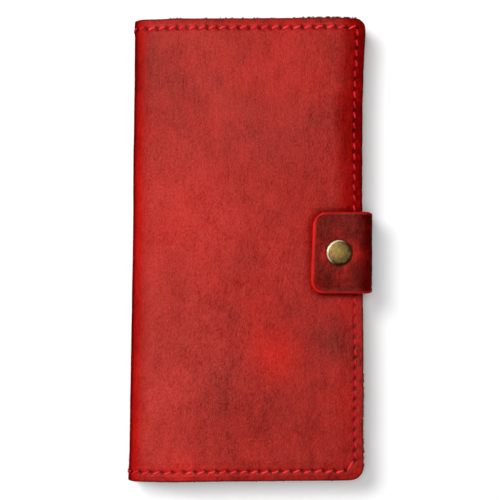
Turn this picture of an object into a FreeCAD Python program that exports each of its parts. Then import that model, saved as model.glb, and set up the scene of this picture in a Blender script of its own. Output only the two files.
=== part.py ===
import FreeCAD, Part
import math
import os
import re

import PartDesign
import Sketcher

# A book-style phone wallet, closed and lying on its back.
# X runs across the width, from the spine (-X) to the free edge (+X), Y up the height and Z through the
# thickness. The origin is the middle of the back cover's outer face.

SIZES = [
    # the closed wallet
    ("closed_width", 92.0, "spine to free edge"),
    ("closed_height", 184.0, "head to tail"),
    ("closed_thick", 19.4, "outer face to outer face"),
    ("corner_radius", 4.6, "corners of the free edge"),
    ("fold_radius", 5.0, "outer radius of each fold of the hide"),
    ("slit_angle", 1.0, "gap where two pieces meet in a bend, in degrees"),
    # leather
    ("cover_thick", 1.6, "outer hide"),
    ("inner_thick", 0.8, "lining and pocket sheets"),
    ("tray_thick", 1.0, "formed phone pocket"),
    # seams
    ("seam_end", 3.7, "head and tail seams, in from the edge"),
    ("seam_side", 3.2, "free edge seam, in from the edge"),
    ("stitch_pitch", 4.13, "hole to hole"),
    ("stitch_length", 3.3, "thread seen in one stitch"),
    ("thread_diameter", 0.42, "waxed thread"),
    ("groove_width", 1.1, "stitching groove"),
    ("groove_depth", 0.5, "stitching groove"),
    # space for the phone
    ("phone_width", 79.5, "room inside the tray, from its mouth"),
    ("phone_height", 166.0, "room inside the tray"),
    ("phone_depth", 8.5, "room inside the tray"),
    ("tray_inset", 6.5, "tray mouth, in from the spine's outer face"),
    ("tray_round", 2.2, "outer edges of the tray"),
    ("thumb_radius", 11.0, "thumb notch in the tray's mouth"),
    # pocket sheets inside the front cover
    ("slot_gap", 0.8, "room for one card or folded notes"),
    ("turned_edge", 4.0, "sheet edges turned under at the seams"),
    ("note_inset", 8.0, "banknote slot's mouth, in from the spine's outer face"),
    ("card_inset", 22.0, "rear card slot's mouth, in from the spine's outer face"),
    ("card_step", 12.0, "from one card slot's mouth to the next"),
    ("card_reach", 42.0, "depth of a card slot"),
    ("divider_width", 1.2, "sewn strip between the two card columns"),
    # strap
    ("strap_width", 32.4, "along Y"),
    ("strap_centre", -1.3, "middle of the strap, along Y"),
    ("strap_thick", 1.6, "full thickness"),
    ("strap_skived", 0.8, "pared thickness of the root"),
    ("strap_root", 21.0, "length let into the back cover"),
    ("strap_bend", 3.35, "outer radius of the strap's two bends"),
    ("strap_slack", 0.05, "room between the strap and its recess"),
    ("strap_lift", 2.7, "tab above the front cover, over the snap"),
    ("tab_reach", 20.3, "tab end, in from the free edge"),
    ("tab_corner", 5.5, "corners of the tab end"),
    ("box_inset", 4.0, "strap stitches, in from the root's edges"),
    # snap fastener
    ("snap_inset", 9.5, "snap centre, in from the free edge"),
    ("snap_centre", -1.25, "snap centre, along Y"),
    ("cap_diameter", 10.0, "domed cap"),
    ("cap_height", 1.7, "domed cap, above the strap"),
    ("cap_rim", 0.7, "straight rim of the cap"),
    ("shank_radius", 1.1, "cap shank through the strap"),
    ("socket_diameter", 9.6, "socket under the strap"),
    ("socket_height", 2.1, "socket, down from the strap"),
    ("socket_plate", 0.5, "socket's top plate"),
    ("socket_bore", 2.5, "radius of the socket's mouth"),
    ("spring_radius", 2.45, "middle of the ring spring's wire"),
    ("spring_wire", 0.22, "radius of the ring spring's wire"),
    ("spring_height", 0.65, "ring spring, up from the socket's mouth"),
    ("stud_base", 4.75, "radius of the stud's base"),
    ("stud_plate", 0.5, "thickness of the stud's base and the post's head"),
    ("stud_neck", 1.5, "radius of the stud's neck"),
    ("stud_head", 1.95, "radius of the stud's head"),
    ("stud_height", 1.8, "stud, above the front cover"),
    ("post_radius", 1.0, "rivet shank through the front cover"),
    ("post_head", 3.5, "radius of the rivet's head"),
    ("fit_gap", 0.1, "room round a shank in its hole"),
]
ALIASES = {alias for alias, value, note in SIZES}

# Places that several pieces share, as expressions of the sheet's cells.
EDGE = "(closed_width / 2)"
END = "(closed_height / 2)"
FOLD_X = "(fold_radius - closed_width / 2)"
FRONT_IN = "(closed_thick - cover_thick)"
SHEET_STEP = "(slot_gap + inner_thick)"
SEAM_X = "(closed_width / 2 - seam_side)"
SEAM_Y = "(closed_height / 2 - seam_end)"
TRAY_X = "(tray_inset - closed_width / 2)"
BEND_X = "(closed_width / 2 + strap_slack)"
STRAP_LOW = "(cover_thick - strap_skived)"
TAB_LOW = "(closed_thick + strap_lift)"
TAB_TOP = "(closed_thick + strap_lift + strap_thick)"
SNAP_X = "(closed_width / 2 - snap_inset)"

doc = FreeCAD.newDocument("phone_wallet")
sheet = doc.addObject("Spreadsheet::Sheet", "Sizes")
parts = []


def fill_sheet():
    """Write each driving dimension into the sheet, with its alias and a note."""
    for row, (alias, value, note) in enumerate(SIZES, start=1):
        sheet.set(f"A{row}", alias)
        sheet.set(f"B{row}", str(value))
        sheet.setAlias(f"B{row}", alias)
        sheet.set(f"C{row}", note)
    doc.recompute()


def bound(text):
    """An expression in which each alias is read from the sheet."""
    return re.sub(r"[a-z_]+", lambda word: "Sizes." + word[0] if word[0] in ALIASES else word[0], text)


def number(text):
    """The present value of an expression of the sheet's cells."""
    value = sheet.evalExpression(bound(text))
    return float(getattr(value, "Value", value))


def new_body(label):
    """An empty body for one sub-part."""
    body = doc.addObject("PartDesign::Body", label)
    body.Label = label
    parts.append(body)
    return body


def new_sketch(body, name, role, offset="0"):
    """A sketch on one of the body's origin planes, moved along the plane's normal by offset."""
    plane = next(f for f in body.Origin.OriginFeatures if f.Role == role)
    made = body.newObject("Sketcher::SketchObject", name)
    made.AttachmentSupport = [(plane, "")]
    made.MapMode = "FlatFace"
    made.setExpression("AttachmentOffset.Base.z", bound(offset))
    return made


def bind(made, kind, places, expression, name):
    """Add one dimension to a sketch and drive it from the sheet."""
    index = made.addConstraint(Sketcher.Constraint(kind, *places, number(expression)))
    made.renameConstraint(index, name)
    made.setExpression(f"Constraints.{name}", bound(expression))


def arc_between(start, end, centre):
    """The short arc from start to end, and whether it runs anticlockwise."""
    first = math.atan2(start[1] - centre[1], start[0] - centre[0])
    last = math.atan2(end[1] - centre[1], end[0] - centre[0])
    forward = math.sin(last - first) > 0
    if not forward:
        first, last = last, first
    circle = Part.Circle(FreeCAD.Vector(*centre, 0), FreeCAD.Vector(0, 0, 1), math.dist(start, centre))
    return Part.ArcOfCircle(circle, first, last), forward


def add_outline(made, corners, arcs=None):
    """A closed outline through corners, which are (x, y) expressions.

    arcs maps the number of a side to its (radius, centre x, centre y); the other sides are straight.
    """
    arcs = arcs or {}
    points = [(number(x), number(y)) for x, y in corners]
    ends = []
    for side, start in enumerate(points):
        finish = points[(side + 1) % len(points)]
        if side in arcs:
            centre = [number(place) for place in arcs[side][1:]]
            curve, forward = arc_between(start, finish, centre)
            index = made.addGeometry(curve)
            ends.append((index, 1, 2) if forward else (index, 2, 1))
        else:
            index = made.addGeometry(Part.LineSegment(FreeCAD.Vector(*start, 0), FreeCAD.Vector(*finish, 0)))
            ends.append((index, 1, 2))
    for side, (index, start, finish) in enumerate(ends):
        following = ends[(side + 1) % len(ends)]
        made.addConstraint(Sketcher.Constraint("Coincident", index, finish, following[0], following[1]))
        bind(made, "DistanceX", (-1, 1, index, start), corners[side][0], f"x{index}")
        bind(made, "DistanceY", (-1, 1, index, start), corners[side][1], f"y{index}")
        if side in arcs:
            bind(made, "Radius", (index,), arcs[side][0], f"r{index}")


def add_rectangle(made, left, right, low, high):
    """A rectangle from expressions of its four sides."""
    add_outline(made, [(left, low), (right, low), (right, high), (left, high)])


def add_circle(made, x, y, radius):
    """A circle from expressions of its centre and radius."""
    centre = FreeCAD.Vector(number(x), number(y), 0)
    index = made.addGeometry(Part.Circle(centre, FreeCAD.Vector(0, 0, 1), number(radius)))
    bind(made, "DistanceX", (-1, 1, index, 3), x, f"x{index}")
    bind(made, "DistanceY", (-1, 1, index, 3), y, f"y{index}")
    bind(made, "Radius", (index,), radius, f"r{index}")


def pad(body, made, name, length, midplane=False):
    """Extrude a sketch along its normal."""
    feature = body.newObject("PartDesign::Pad", name)
    feature.Profile = made
    feature.Midplane = midplane
    feature.setExpression("Length", bound(length))
    doc.recompute()


def pocket(body, made, name, depth, along_normal=False):
    """Cut a sketch into the body, against its normal unless told otherwise."""
    before = body.Shape.Volume
    feature = body.newObject("PartDesign::Pocket", name)
    feature.Profile = made
    feature.Reversed = along_normal
    feature.setExpression("Length", bound(depth))
    doc.recompute()
    if body.Shape.Volume >= before:
        raise ValueError(f"{name} cuts nothing from {body.Label}")


def revolve(body, made, name, degrees=360.0):
    """Turn a sketch on the XZ plane about the body's Z axis."""
    axis = next(f for f in body.Origin.OriginFeatures if f.Role == "Z_Axis")
    feature = body.newObject("PartDesign::Revolution", name)
    feature.Profile = made
    feature.ReferenceAxis = (axis, [""])
    feature.Angle = degrees
    doc.recompute()


def fillet(body, name, radius, wanted):
    """Round the edges that wanted picks."""
    base = body.Tip
    names = [f"Edge{i}" for i, edge in enumerate(base.Shape.Edges, start=1) if wanted(edge)]
    feature = body.newObject("PartDesign::Fillet", name)
    feature.Base = (base, names)
    feature.setExpression("Radius", bound(radius))
    doc.recompute()


def upright_at(x):
    """Picks the edges that run along Z at one X."""
    place = number(x)

    def wanted(edge):
        box = edge.BoundBox
        return box.XLength < 1e-4 and box.YLength < 1e-4 and abs(box.XMin - place) < 1e-4
    return wanted


def place_body(body, x, y, z):
    """Move a body that was modelled about its own axis."""
    for axis, expression in zip("xyz", (x, y, z)):
        body.setExpression(f"Placement.Base.{axis}", bound(expression))


def on_arc(centre_x, centre_z, radius, degrees):
    """Expressions of the point at an angle on an arc."""
    return (f"{centre_x} + {radius} * cos({degrees})", f"{centre_z} + {radius} * sin({degrees})")


def add_seam_groove(body, name, height, along_normal):
    """The U-shaped stitching groove: head, free edge and tail."""
    half = "groove_width / 2"
    made = new_sketch(body, f"{name}_line", "XY_Plane", height)
    add_outline(made, [
        (FOLD_X, f"{SEAM_Y} - {half}"),
        (f"{SEAM_X} - {half}", f"{SEAM_Y} - {half}"),
        (f"{SEAM_X} - {half}", f"{half} - {SEAM_Y}"),
        (FOLD_X, f"{half} - {SEAM_Y}"),
        (FOLD_X, f"-{SEAM_Y} - {half}"),
        (f"{SEAM_X} + {half}", f"-{SEAM_Y} - {half}"),
        (f"{SEAM_X} + {half}", f"{SEAM_Y} + {half}"),
        (FOLD_X, f"{SEAM_Y} + {half}"),
    ])
    pocket(body, made, name, "groove_depth", along_normal)


def make_cover(label, outer_z, side):
    """A panel of the hide with its half of the fold. side is +1 where the inside faces +Z, else -1."""
    body = new_body(label)
    inner_z = f"({outer_z} + {side} * cover_thick)"
    centre_z = f"({outer_z} + {side} * fold_radius)"
    inner_radius = "(fold_radius - cover_thick)"
    degrees = 180 + side * 45
    made = new_sketch(body, f"{label}_profile", "XZ_Plane")
    add_outline(made, [
        (FOLD_X, outer_z),
        (EDGE, outer_z),
        (EDGE, inner_z),
        (FOLD_X, inner_z),
        on_arc(FOLD_X, centre_z, inner_radius, degrees),
        on_arc(FOLD_X, centre_z, "fold_radius", degrees),
    ], {3: (inner_radius, FOLD_X, centre_z), 5: ("fold_radius", FOLD_X, centre_z)})
    pad(body, made, f"{label}_sheet", "closed_height", midplane=True)
    fillet(body, f"{label}_corners", "corner_radius", upright_at(EDGE))
    add_seam_groove(body, f"{label}_groove", outer_z, along_normal=side > 0)
    return body


def make_back_cover():
    """Back panel, with the recess for the strap's root on its inside and the strap's stitching groove."""
    body = make_cover("back_cover", "0", 1)
    recess = new_sketch(body, "strap_recess_outline", "XY_Plane", "cover_thick")
    half = "(strap_width / 2 + strap_slack)"
    add_rectangle(recess, f"{EDGE} - strap_root - strap_slack", f"{EDGE} + 1",
                  f"strap_centre - {half}", f"strap_centre + {half}")
    pocket(body, recess, "strap_recess", "strap_skived")
    groove = new_sketch(body, "strap_groove_line", "XY_Plane")
    for grow in ("groove_width / 2", "-groove_width / 2"):
        left, right, low, high = strap_box(grow)
        add_rectangle(groove, left, right, low, high)
    pocket(body, groove, "strap_groove", "groove_depth", along_normal=True)


def strap_box(grow="0"):
    """Sides of the stitched box that holds the strap's root, clear of the free edge seam."""
    return (f"{EDGE} - strap_root + box_inset - ({grow})",
            f"{SEAM_X} - box_inset + ({grow})",
            f"strap_centre - strap_width / 2 + box_inset - ({grow})",
            f"strap_centre + strap_width / 2 - box_inset + ({grow})")


def make_front_cover():
    """Front panel, with the hole for the stud's rivet."""
    body = make_cover("front_cover", "closed_thick", -1)
    hole = new_sketch(body, "post_hole_outline", "XY_Plane", "closed_thick")
    add_circle(hole, SNAP_X, "snap_centre", "post_radius + fit_gap")
    pocket(body, hole, "post_hole", "cover_thick")


def make_spine():
    """The hide between the two folds, with its half of each."""
    body = new_body("spine")
    inner = "(fold_radius - cover_thick)"
    low_z = "fold_radius"
    high_z = "(closed_thick - fold_radius)"
    low, high = "(225 - slit_angle)", "(135 + slit_angle)"
    made = new_sketch(body, "spine_profile", "XZ_Plane")
    add_outline(made, [
        on_arc(FOLD_X, low_z, "fold_radius", low),
        on_arc(FOLD_X, low_z, inner, low),
        ("cover_thick - closed_width / 2", low_z),
        ("cover_thick - closed_width / 2", high_z),
        on_arc(FOLD_X, high_z, inner, high),
        on_arc(FOLD_X, high_z, "fold_radius", high),
        ("-closed_width / 2", high_z),
        ("-closed_width / 2", low_z),
    ], {1: (inner, FOLD_X, low_z), 3: (inner, FOLD_X, high_z),
        5: ("fold_radius", FOLD_X, high_z), 7: ("fold_radius", FOLD_X, low_z)})
    pad(body, made, "spine_sheet", "closed_height", midplane=True)
    grooves = new_sketch(body, "spine_groove_lines", "YZ_Plane", "-closed_width / 2")
    half = "groove_width / 2"
    for middle in (SEAM_Y, f"(-{SEAM_Y})"):
        add_rectangle(grooves, f"{middle} - {half}", f"{middle} + {half}", low_z, high_z)
    pocket(body, grooves, "spine_grooves", "groove_depth", along_normal=True)


def make_spine_liner():
    """Leather strip on the inside of the spine, between the folds."""
    body = new_body("spine_liner")
    made = new_sketch(body, "spine_liner_outline", "XZ_Plane")
    left = "cover_thick - closed_width / 2"
    add_rectangle(made, left, f"{left} + inner_thick", "fold_radius", "closed_thick - fold_radius")
    pad(body, made, "spine_liner_sheet", "closed_height", midplane=True)


def make_phone_pocket():
    """Formed tray: a flange sewn on three sides, walls and a roof, open towards the spine."""
    body = new_body("phone_pocket")
    wall_x = f"({TRAY_X} + phone_width + tray_thick)"
    wall_y = "(phone_height / 2 + tray_thick)"
    flange = new_sketch(body, "flange_outline", "XY_Plane", "cover_thick")
    add_rectangle(flange, TRAY_X, EDGE, f"-{END}", END)
    pad(body, flange, "flange", "tray_thick")
    fillet(body, "flange_corners", "corner_radius", upright_at(EDGE))
    block = new_sketch(body, "tray_outline", "XY_Plane", "cover_thick")
    add_rectangle(block, TRAY_X, wall_x, f"-{wall_y}", wall_y)
    pad(body, block, "tray", "phone_depth + tray_thick")
    roof = number("cover_thick + phone_depth + tray_thick")
    far_x = number(wall_x)

    def tray_edge(edge):
        """The roof's three outer edges and the tray's two far uprights."""
        box = edge.BoundBox
        on_roof = abs(box.ZMin - roof) < 1e-4 and box.XMax > far_x - 1
        upright = box.ZLength > 1 and box.XLength < 1e-4 and abs(box.XMin - far_x) < 1e-4
        return on_roof or upright

    fillet(body, "tray_rounds", "tray_round", tray_edge)
    room = new_sketch(body, "phone_room_outline", "XY_Plane", "cover_thick")
    add_rectangle(room, f"{TRAY_X} - 1", f"{TRAY_X} + phone_width", "-phone_height / 2", "phone_height / 2")
    pocket(body, room, "phone_room", "phone_depth", along_normal=True)
    notch = new_sketch(body, "thumb_notch_outline", "XY_Plane", "cover_thick + phone_depth + tray_thick")
    add_circle(notch, TRAY_X, "0", "thumb_radius")
    pocket(body, notch, "thumb_notch", "tray_thick")


def make_slot_sheet(label, layer, mouth, stop, columns):
    """A pocket sheet under the front cover. Its turned edges hold it one slot's gap from the sheet above."""
    body = new_body(label)
    top = f"({FRONT_IN} - {layer} * {SHEET_STEP})"
    outline = new_sketch(body, f"{label}_outline", "XY_Plane", f"{top} - {SHEET_STEP}")
    add_rectangle(outline, mouth, EDGE, f"-{END}", END)
    pad(body, outline, f"{label}_sheet", SHEET_STEP)
    fillet(body, f"{label}_corners", "corner_radius", upright_at(EDGE))
    slots = new_sketch(body, f"{label}_slots", "XY_Plane", top)
    reach_y = f"({END} - turned_edge)"
    if columns == 1:
        add_rectangle(slots, f"{mouth} - 1", stop, f"-{reach_y}", reach_y)
    else:
        add_rectangle(slots, f"{mouth} - 1", stop, "divider_width / 2", reach_y)
        add_rectangle(slots, f"{mouth} - 1", stop, f"-{reach_y}", "-divider_width / 2")
    pocket(body, slots, f"{label}_room", "slot_gap")
    return body


def make_pocket_sheets():
    """The banknote sheet and the three stepped card sheets, the last with a groove for the divider seam."""
    make_slot_sheet("banknote_pocket", 0, "(note_inset - closed_width / 2)", f"{EDGE} - turned_edge", 1)
    for step, label in enumerate(("card_pocket_rear", "card_pocket_middle", "card_pocket_front")):
        mouth = f"(card_inset + {step} * card_step - closed_width / 2)"
        body = make_slot_sheet(label, step + 1, mouth, f"{mouth} + card_reach", 2)
    groove = new_sketch(body, "divider_groove_line", "XY_Plane", f"{FRONT_IN} - 4 * {SHEET_STEP}")
    add_rectangle(groove, mouth, f"{EDGE} - turned_edge - groove_width",
                  "-groove_width / 2", "groove_width / 2")
    pocket(body, groove, "divider_groove", "groove_depth", along_normal=True)


def make_strap_base():
    """Root of the strap: pared flat in the back cover's recess, then full thickness into its first bend."""
    body = new_body("strap_base")
    centre_z = f"({STRAP_LOW} + strap_bend)"
    inner = "(strap_bend - strap_thick)"
    made = new_sketch(body, "strap_base_profile", "XZ_Plane", "-strap_centre")
    add_outline(made, [
        (f"{EDGE} - strap_root", STRAP_LOW),
        (BEND_X, STRAP_LOW),
        on_arc(BEND_X, centre_z, "strap_bend", "-45"),
        on_arc(BEND_X, centre_z, inner, "-45"),
        (BEND_X, f"{STRAP_LOW} + strap_thick"),
        (BEND_X, "cover_thick"),
        (f"{EDGE} - strap_root", "cover_thick"),
    ], {1: ("strap_bend", BEND_X, centre_z), 3: (inner, BEND_X, centre_z)})
    pad(body, made, "strap_base_sheet", "strap_width", midplane=True)


def make_strap_wrap():
    """Part of the strap that stands outside the free edge, between the middles of its two bends."""
    body = new_body("strap_wrap")
    low_z = f"({STRAP_LOW} + strap_bend)"
    high_z = f"({TAB_TOP} - strap_bend)"
    inner = "(strap_bend - strap_thick)"
    low, high = "(slit_angle - 45)", "(45 - slit_angle)"
    made = new_sketch(body, "strap_wrap_profile", "XZ_Plane", "-strap_centre")
    add_outline(made, [
        on_arc(BEND_X, low_z, "strap_bend", low),
        (f"{BEND_X} + strap_bend", low_z),
        (f"{BEND_X} + strap_bend", high_z),
        on_arc(BEND_X, high_z, "strap_bend", high),
        on_arc(BEND_X, high_z, inner, high),
        (f"{BEND_X} + {inner}", high_z),
        (f"{BEND_X} + {inner}", low_z),
        on_arc(BEND_X, low_z, inner, low),
    ], {0: ("strap_bend", BEND_X, low_z), 2: ("strap_bend", BEND_X, high_z),
        4: (inner, BEND_X, high_z), 6: (inner, BEND_X, low_z)})
    pad(body, made, "strap_wrap_sheet", "strap_width", midplane=True)


def make_strap_tab():
    """Strap end over the front cover, with rounded corners and the hole for the snap's shank."""
    body = new_body("strap_tab")
    centre_z = f"({TAB_TOP} - strap_bend)"
    inner = "(strap_bend - strap_thick)"
    tab_end = f"{EDGE} - tab_reach"
    made = new_sketch(body, "strap_tab_profile", "XZ_Plane", "-strap_centre")
    add_outline(made, [
        (tab_end, TAB_LOW),
        (BEND_X, TAB_LOW),
        on_arc(BEND_X, centre_z, inner, "45"),
        on_arc(BEND_X, centre_z, "strap_bend", "45"),
        (BEND_X, TAB_TOP),
        (tab_end, TAB_TOP),
    ], {1: (inner, BEND_X, centre_z), 3: ("strap_bend", BEND_X, centre_z)})
    pad(body, made, "strap_tab_sheet", "strap_width", midplane=True)
    fillet(body, "strap_tab_corners", "tab_corner", upright_at(tab_end))
    hole = new_sketch(body, "shank_hole_outline", "XY_Plane", TAB_TOP)
    add_circle(hole, SNAP_X, "snap_centre", "shank_radius + fit_gap")
    pocket(body, hole, "shank_hole", "strap_thick")


def make_snap_cap():
    """Domed cap with a shank that is spread under the socket's plate. Z = 0 is the strap's top face."""
    body = new_body("snap_cap")
    rim = "cap_diameter / 2"
    # a dome whose sphere meets the rim's top and the crown
    rise = "(cap_height - cap_rim)"
    sphere = f"((cap_diameter ^ 2 / 4 + {rise} ^ 2) / (2 * {rise}))"
    spread = "-strap_thick - socket_plate"
    made = new_sketch(body, "snap_cap_profile", "XZ_Plane")
    add_outline(made, [
        ("0", f"{spread} - fit_gap * 2"),
        ("shank_radius * 1.5", f"{spread} - fit_gap * 2"),
        ("shank_radius * 1.5", spread),
        ("shank_radius", spread),
        ("shank_radius", "0"),
        (rim, "0"),
        (rim, "cap_rim"),
        ("0", "cap_height"),
    ], {6: (sphere, "0", f"cap_height - {sphere}")})
    revolve(body, made, "snap_cap_turned")
    place_body(body, SNAP_X, "snap_centre", TAB_TOP)


def make_snap_socket():
    """Socket with a plate against the strap and a groove for the spring. Z = 0 is the strap's underside."""
    body = new_body("snap_socket")
    outer = "socket_diameter / 2"
    groove = "(spring_radius + spring_wire + fit_gap)"
    groove_z = "(spring_height - socket_height)"
    half = "(spring_wire + fit_gap / 2)"
    made = new_sketch(body, "snap_socket_profile", "XZ_Plane")
    add_outline(made, [
        ("shank_radius + fit_gap", "0"),
        (outer, "0"),
        (outer, "-socket_plate"),
        ("socket_bore + 1", "-socket_height"),
        ("socket_bore", "-socket_height"),
        ("socket_bore", f"{groove_z} - {half}"),
        (groove, f"{groove_z} - {half}"),
        (groove, f"{groove_z} + {half}"),
        ("socket_bore", f"{groove_z} + {half}"),
        ("socket_bore", "-socket_plate"),
        ("shank_radius + fit_gap", "-socket_plate"),
    ])
    revolve(body, made, "snap_socket_turned")
    place_body(body, SNAP_X, "snap_centre", TAB_LOW)


def make_snap_spring():
    """Split ring of spring wire in the socket's groove, relaxed just clear of the stud."""
    body = new_body("snap_spring")
    made = new_sketch(body, "snap_spring_wire", "XZ_Plane")
    add_circle(made, "spring_radius", "0", "spring_wire")
    revolve(body, made, "snap_spring_ring", degrees=330.0)
    place_body(body, SNAP_X, "snap_centre", f"{TAB_LOW} - socket_height + spring_height")


def make_snap_stud():
    """Stud: base, neck and domed head, hollow for the rivet. Z = 0 is the front cover's outer face."""
    body = new_body("snap_stud")
    hollow = "(post_radius + fit_gap)"
    shoulder = "(stud_height - stud_head + stud_neck)"
    made = new_sketch(body, "snap_stud_profile", "XZ_Plane")
    add_outline(made, [
        (hollow, "0"),
        ("stud_base", "0"),
        ("stud_base", "stud_plate / 2"),
        ("stud_neck", "stud_plate"),
        ("stud_neck", f"{shoulder} - stud_plate / 2"),
        ("stud_head", f"{shoulder} - fit_gap"),
        ("stud_neck", "stud_height"),
        ("0", "stud_height"),
        ("0", f"stud_height - stud_plate"),
        (hollow, f"stud_height - stud_plate"),
    ])
    revolve(body, made, "snap_stud_turned")
    place_body(body, SNAP_X, "snap_centre", "closed_thick")


def make_snap_post():
    """Rivet from inside the front cover into the stud. Z = 0 is the front cover's inner face."""
    body = new_body("snap_post")
    top = "cover_thick + stud_height - stud_plate - fit_gap"
    made = new_sketch(body, "snap_post_profile", "XZ_Plane")
    add_outline(made, [
        ("0", "-stud_plate"),
        ("post_head", "-stud_plate"),
        ("post_head", "0"),
        ("post_radius", "0"),
        ("post_radius", top),
        ("0", top),
    ])
    revolve(body, made, "snap_post_turned")
    place_body(body, SNAP_X, "snap_centre", FRONT_IN)


def stitch_row(start, end):
    """The stitches of one straight row, as cylinders that lie on the line from start to end."""
    start, end = FreeCAD.Vector(*start), FreeCAD.Vector(*end)
    along = (end - start).normalize()
    length = number("stitch_length")
    pitch = number("stitch_pitch")
    if (end - start).Length < pitch:
        return []
    count = round((end - start).Length / pitch)
    step = (end - start).Length / count
    radius = number("thread_diameter / 2")
    return [Part.makeCylinder(radius, length, start + along * (step * (i + 0.5) - length / 2), along)
            for i in range(count)]


def add_thread(label, solids):
    """One node for all the stitches of a seam."""
    made = doc.addObject("Part::Feature", label)
    made.Label = label
    made.Shape = Part.makeCompound(solids)
    made.Placement = FreeCAD.Placement()
    parts.append(made)


def panel_seam(height_at):
    """Stitches round head, free edge and tail of a panel; height_at gives the thread's Z for an X."""
    fold, side, end = number(FOLD_X), number(SEAM_X), number(SEAM_Y)
    breaks = sorted({fold, side} | {x for x in height_at if fold < x < side})
    solids = []
    for left, right in zip(breaks, breaks[1:]):
        z = height_at[max(x for x in height_at if x <= left + 1e-6)]
        for y in (end, -end):
            solids += stitch_row((left, y, z), (right, y, z))
    z = height_at[max(height_at)]
    solids += stitch_row((side, end, z), (side, -end, z))
    return solids


def make_seam_threads():
    """Threads of the panels' seams: sunk in the groove outside, lying on the innermost sheet inside."""
    in_groove = number("groove_depth - thread_diameter / 2")
    radius = number("thread_diameter / 2")
    fold = number(FOLD_X)
    thick, cover = number("closed_thick"), number("cover_thick")
    flange_top = number("cover_thick + tray_thick")
    add_thread("back_seam_thread",
               panel_seam({fold: in_groove})
               + panel_seam({fold: cover + radius, number(TRAY_X): flange_top + radius}))
    mouths = [number("note_inset - closed_width / 2")]
    mouths += [number(f"card_inset + {step} * card_step - closed_width / 2") for step in range(3)]
    inside = {fold: thick - cover - radius}
    for layer, mouth in enumerate(mouths, start=1):
        inside[mouth] = thick - cover - layer * number(SHEET_STEP) - radius
    add_thread("front_seam_thread", panel_seam({fold: thick - in_groove}) + panel_seam(inside))


def make_divider_thread():
    """Row that sews the card sheets together between the two columns."""
    z = number(f"{FRONT_IN} - 4 * {SHEET_STEP} + groove_depth - thread_diameter / 2")
    left = number("card_inset + 2 * card_step - closed_width / 2")
    right = number(f"{EDGE} - turned_edge - groove_width")
    add_thread("card_divider_thread", stitch_row((left, 0, z), (right, 0, z)))


def make_strap_thread():
    """Box of stitches through the back cover and the strap's root."""
    z = number("groove_depth - thread_diameter / 2")
    left, right, low, high = (number(place) for place in strap_box())
    corners = [(left, low, z), (right, low, z), (right, high, z), (left, high, z)]
    solids = []
    for start, end in zip(corners, corners[1:] + corners[:1]):
        solids += stitch_row(start, end)
    add_thread("strap_seam_thread", solids)


def make_spine_thread():
    """Short rows at head and tail of the spine: sunk in its grooves outside, lying on the liner inside."""
    outside = number("groove_depth - thread_diameter / 2 - closed_width / 2")
    inside = number("cover_thick - closed_width / 2 + inner_thick + thread_diameter / 2")
    low, high = number("fold_radius"), number("closed_thick - fold_radius")
    solids = []
    for x in (outside, inside):
        for y in (number(SEAM_Y), -number(SEAM_Y)):
            solids += stitch_row((x, y, low), (x, y, high))
    add_thread("spine_seam_thread", solids)


def check_document():
    """Stop if any object failed or any sub-part's shape is empty or invalid."""
    for item in doc.Objects:
        if {"Invalid", "Error"} & set(item.State):
            raise ValueError(f"{item.Label} failed: {item.State}")
    for part in parts:
        if part.Shape.isNull() or not part.Shape.isValid() or not part.Shape.Solids:
            raise ValueError(f"{part.Label} has no valid shape")


def write_parts():
    """Write each sub-part to parts/LABEL.step."""
    os.makedirs("parts", exist_ok=True)
    for part in parts:
        part.Shape.exportStep(os.path.join("parts", part.Label + ".step"))


fill_sheet()
make_back_cover()
make_phone_pocket()
make_strap_base()
make_spine()
make_spine_liner()
make_front_cover()
make_pocket_sheets()
make_strap_wrap()
make_strap_tab()
make_snap_cap()
make_snap_socket()
make_snap_spring()
make_snap_stud()
make_snap_post()
make_seam_threads()
make_divider_thread()
make_strap_thread()
make_spine_thread()
doc.recompute()
check_document()
write_parts()
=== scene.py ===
"""Looks of a red leather phone wallet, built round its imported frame.

Shapes are worked out in millimetres and turned into metres where a mesh is made. X runs from the spine to the
free edge, Y up the wallet and Z from the back cover to the front cover.
"""

import math

import bpy
import numpy as np
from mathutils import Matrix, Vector


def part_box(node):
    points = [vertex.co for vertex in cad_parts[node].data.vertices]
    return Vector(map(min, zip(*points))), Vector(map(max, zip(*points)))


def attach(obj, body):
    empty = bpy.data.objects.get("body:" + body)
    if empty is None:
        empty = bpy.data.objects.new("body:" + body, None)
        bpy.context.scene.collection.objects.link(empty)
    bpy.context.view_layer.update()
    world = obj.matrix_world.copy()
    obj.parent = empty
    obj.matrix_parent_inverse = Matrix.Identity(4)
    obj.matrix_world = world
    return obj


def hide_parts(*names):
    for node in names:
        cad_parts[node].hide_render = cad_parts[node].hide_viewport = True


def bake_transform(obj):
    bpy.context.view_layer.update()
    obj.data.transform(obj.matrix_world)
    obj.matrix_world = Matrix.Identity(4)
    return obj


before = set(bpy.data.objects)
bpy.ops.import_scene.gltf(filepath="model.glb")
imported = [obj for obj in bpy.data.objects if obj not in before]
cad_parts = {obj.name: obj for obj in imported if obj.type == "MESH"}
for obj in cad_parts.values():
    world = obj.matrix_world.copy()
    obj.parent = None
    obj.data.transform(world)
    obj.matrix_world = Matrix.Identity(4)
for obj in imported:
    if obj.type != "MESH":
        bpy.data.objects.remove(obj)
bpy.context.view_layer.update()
MM = 0.001


def box_mm(node):
    """Lowest and highest corner of a CAD node, in millimetres."""
    low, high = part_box(node)
    return np.array(low) / MM, np.array(high) / MM


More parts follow.
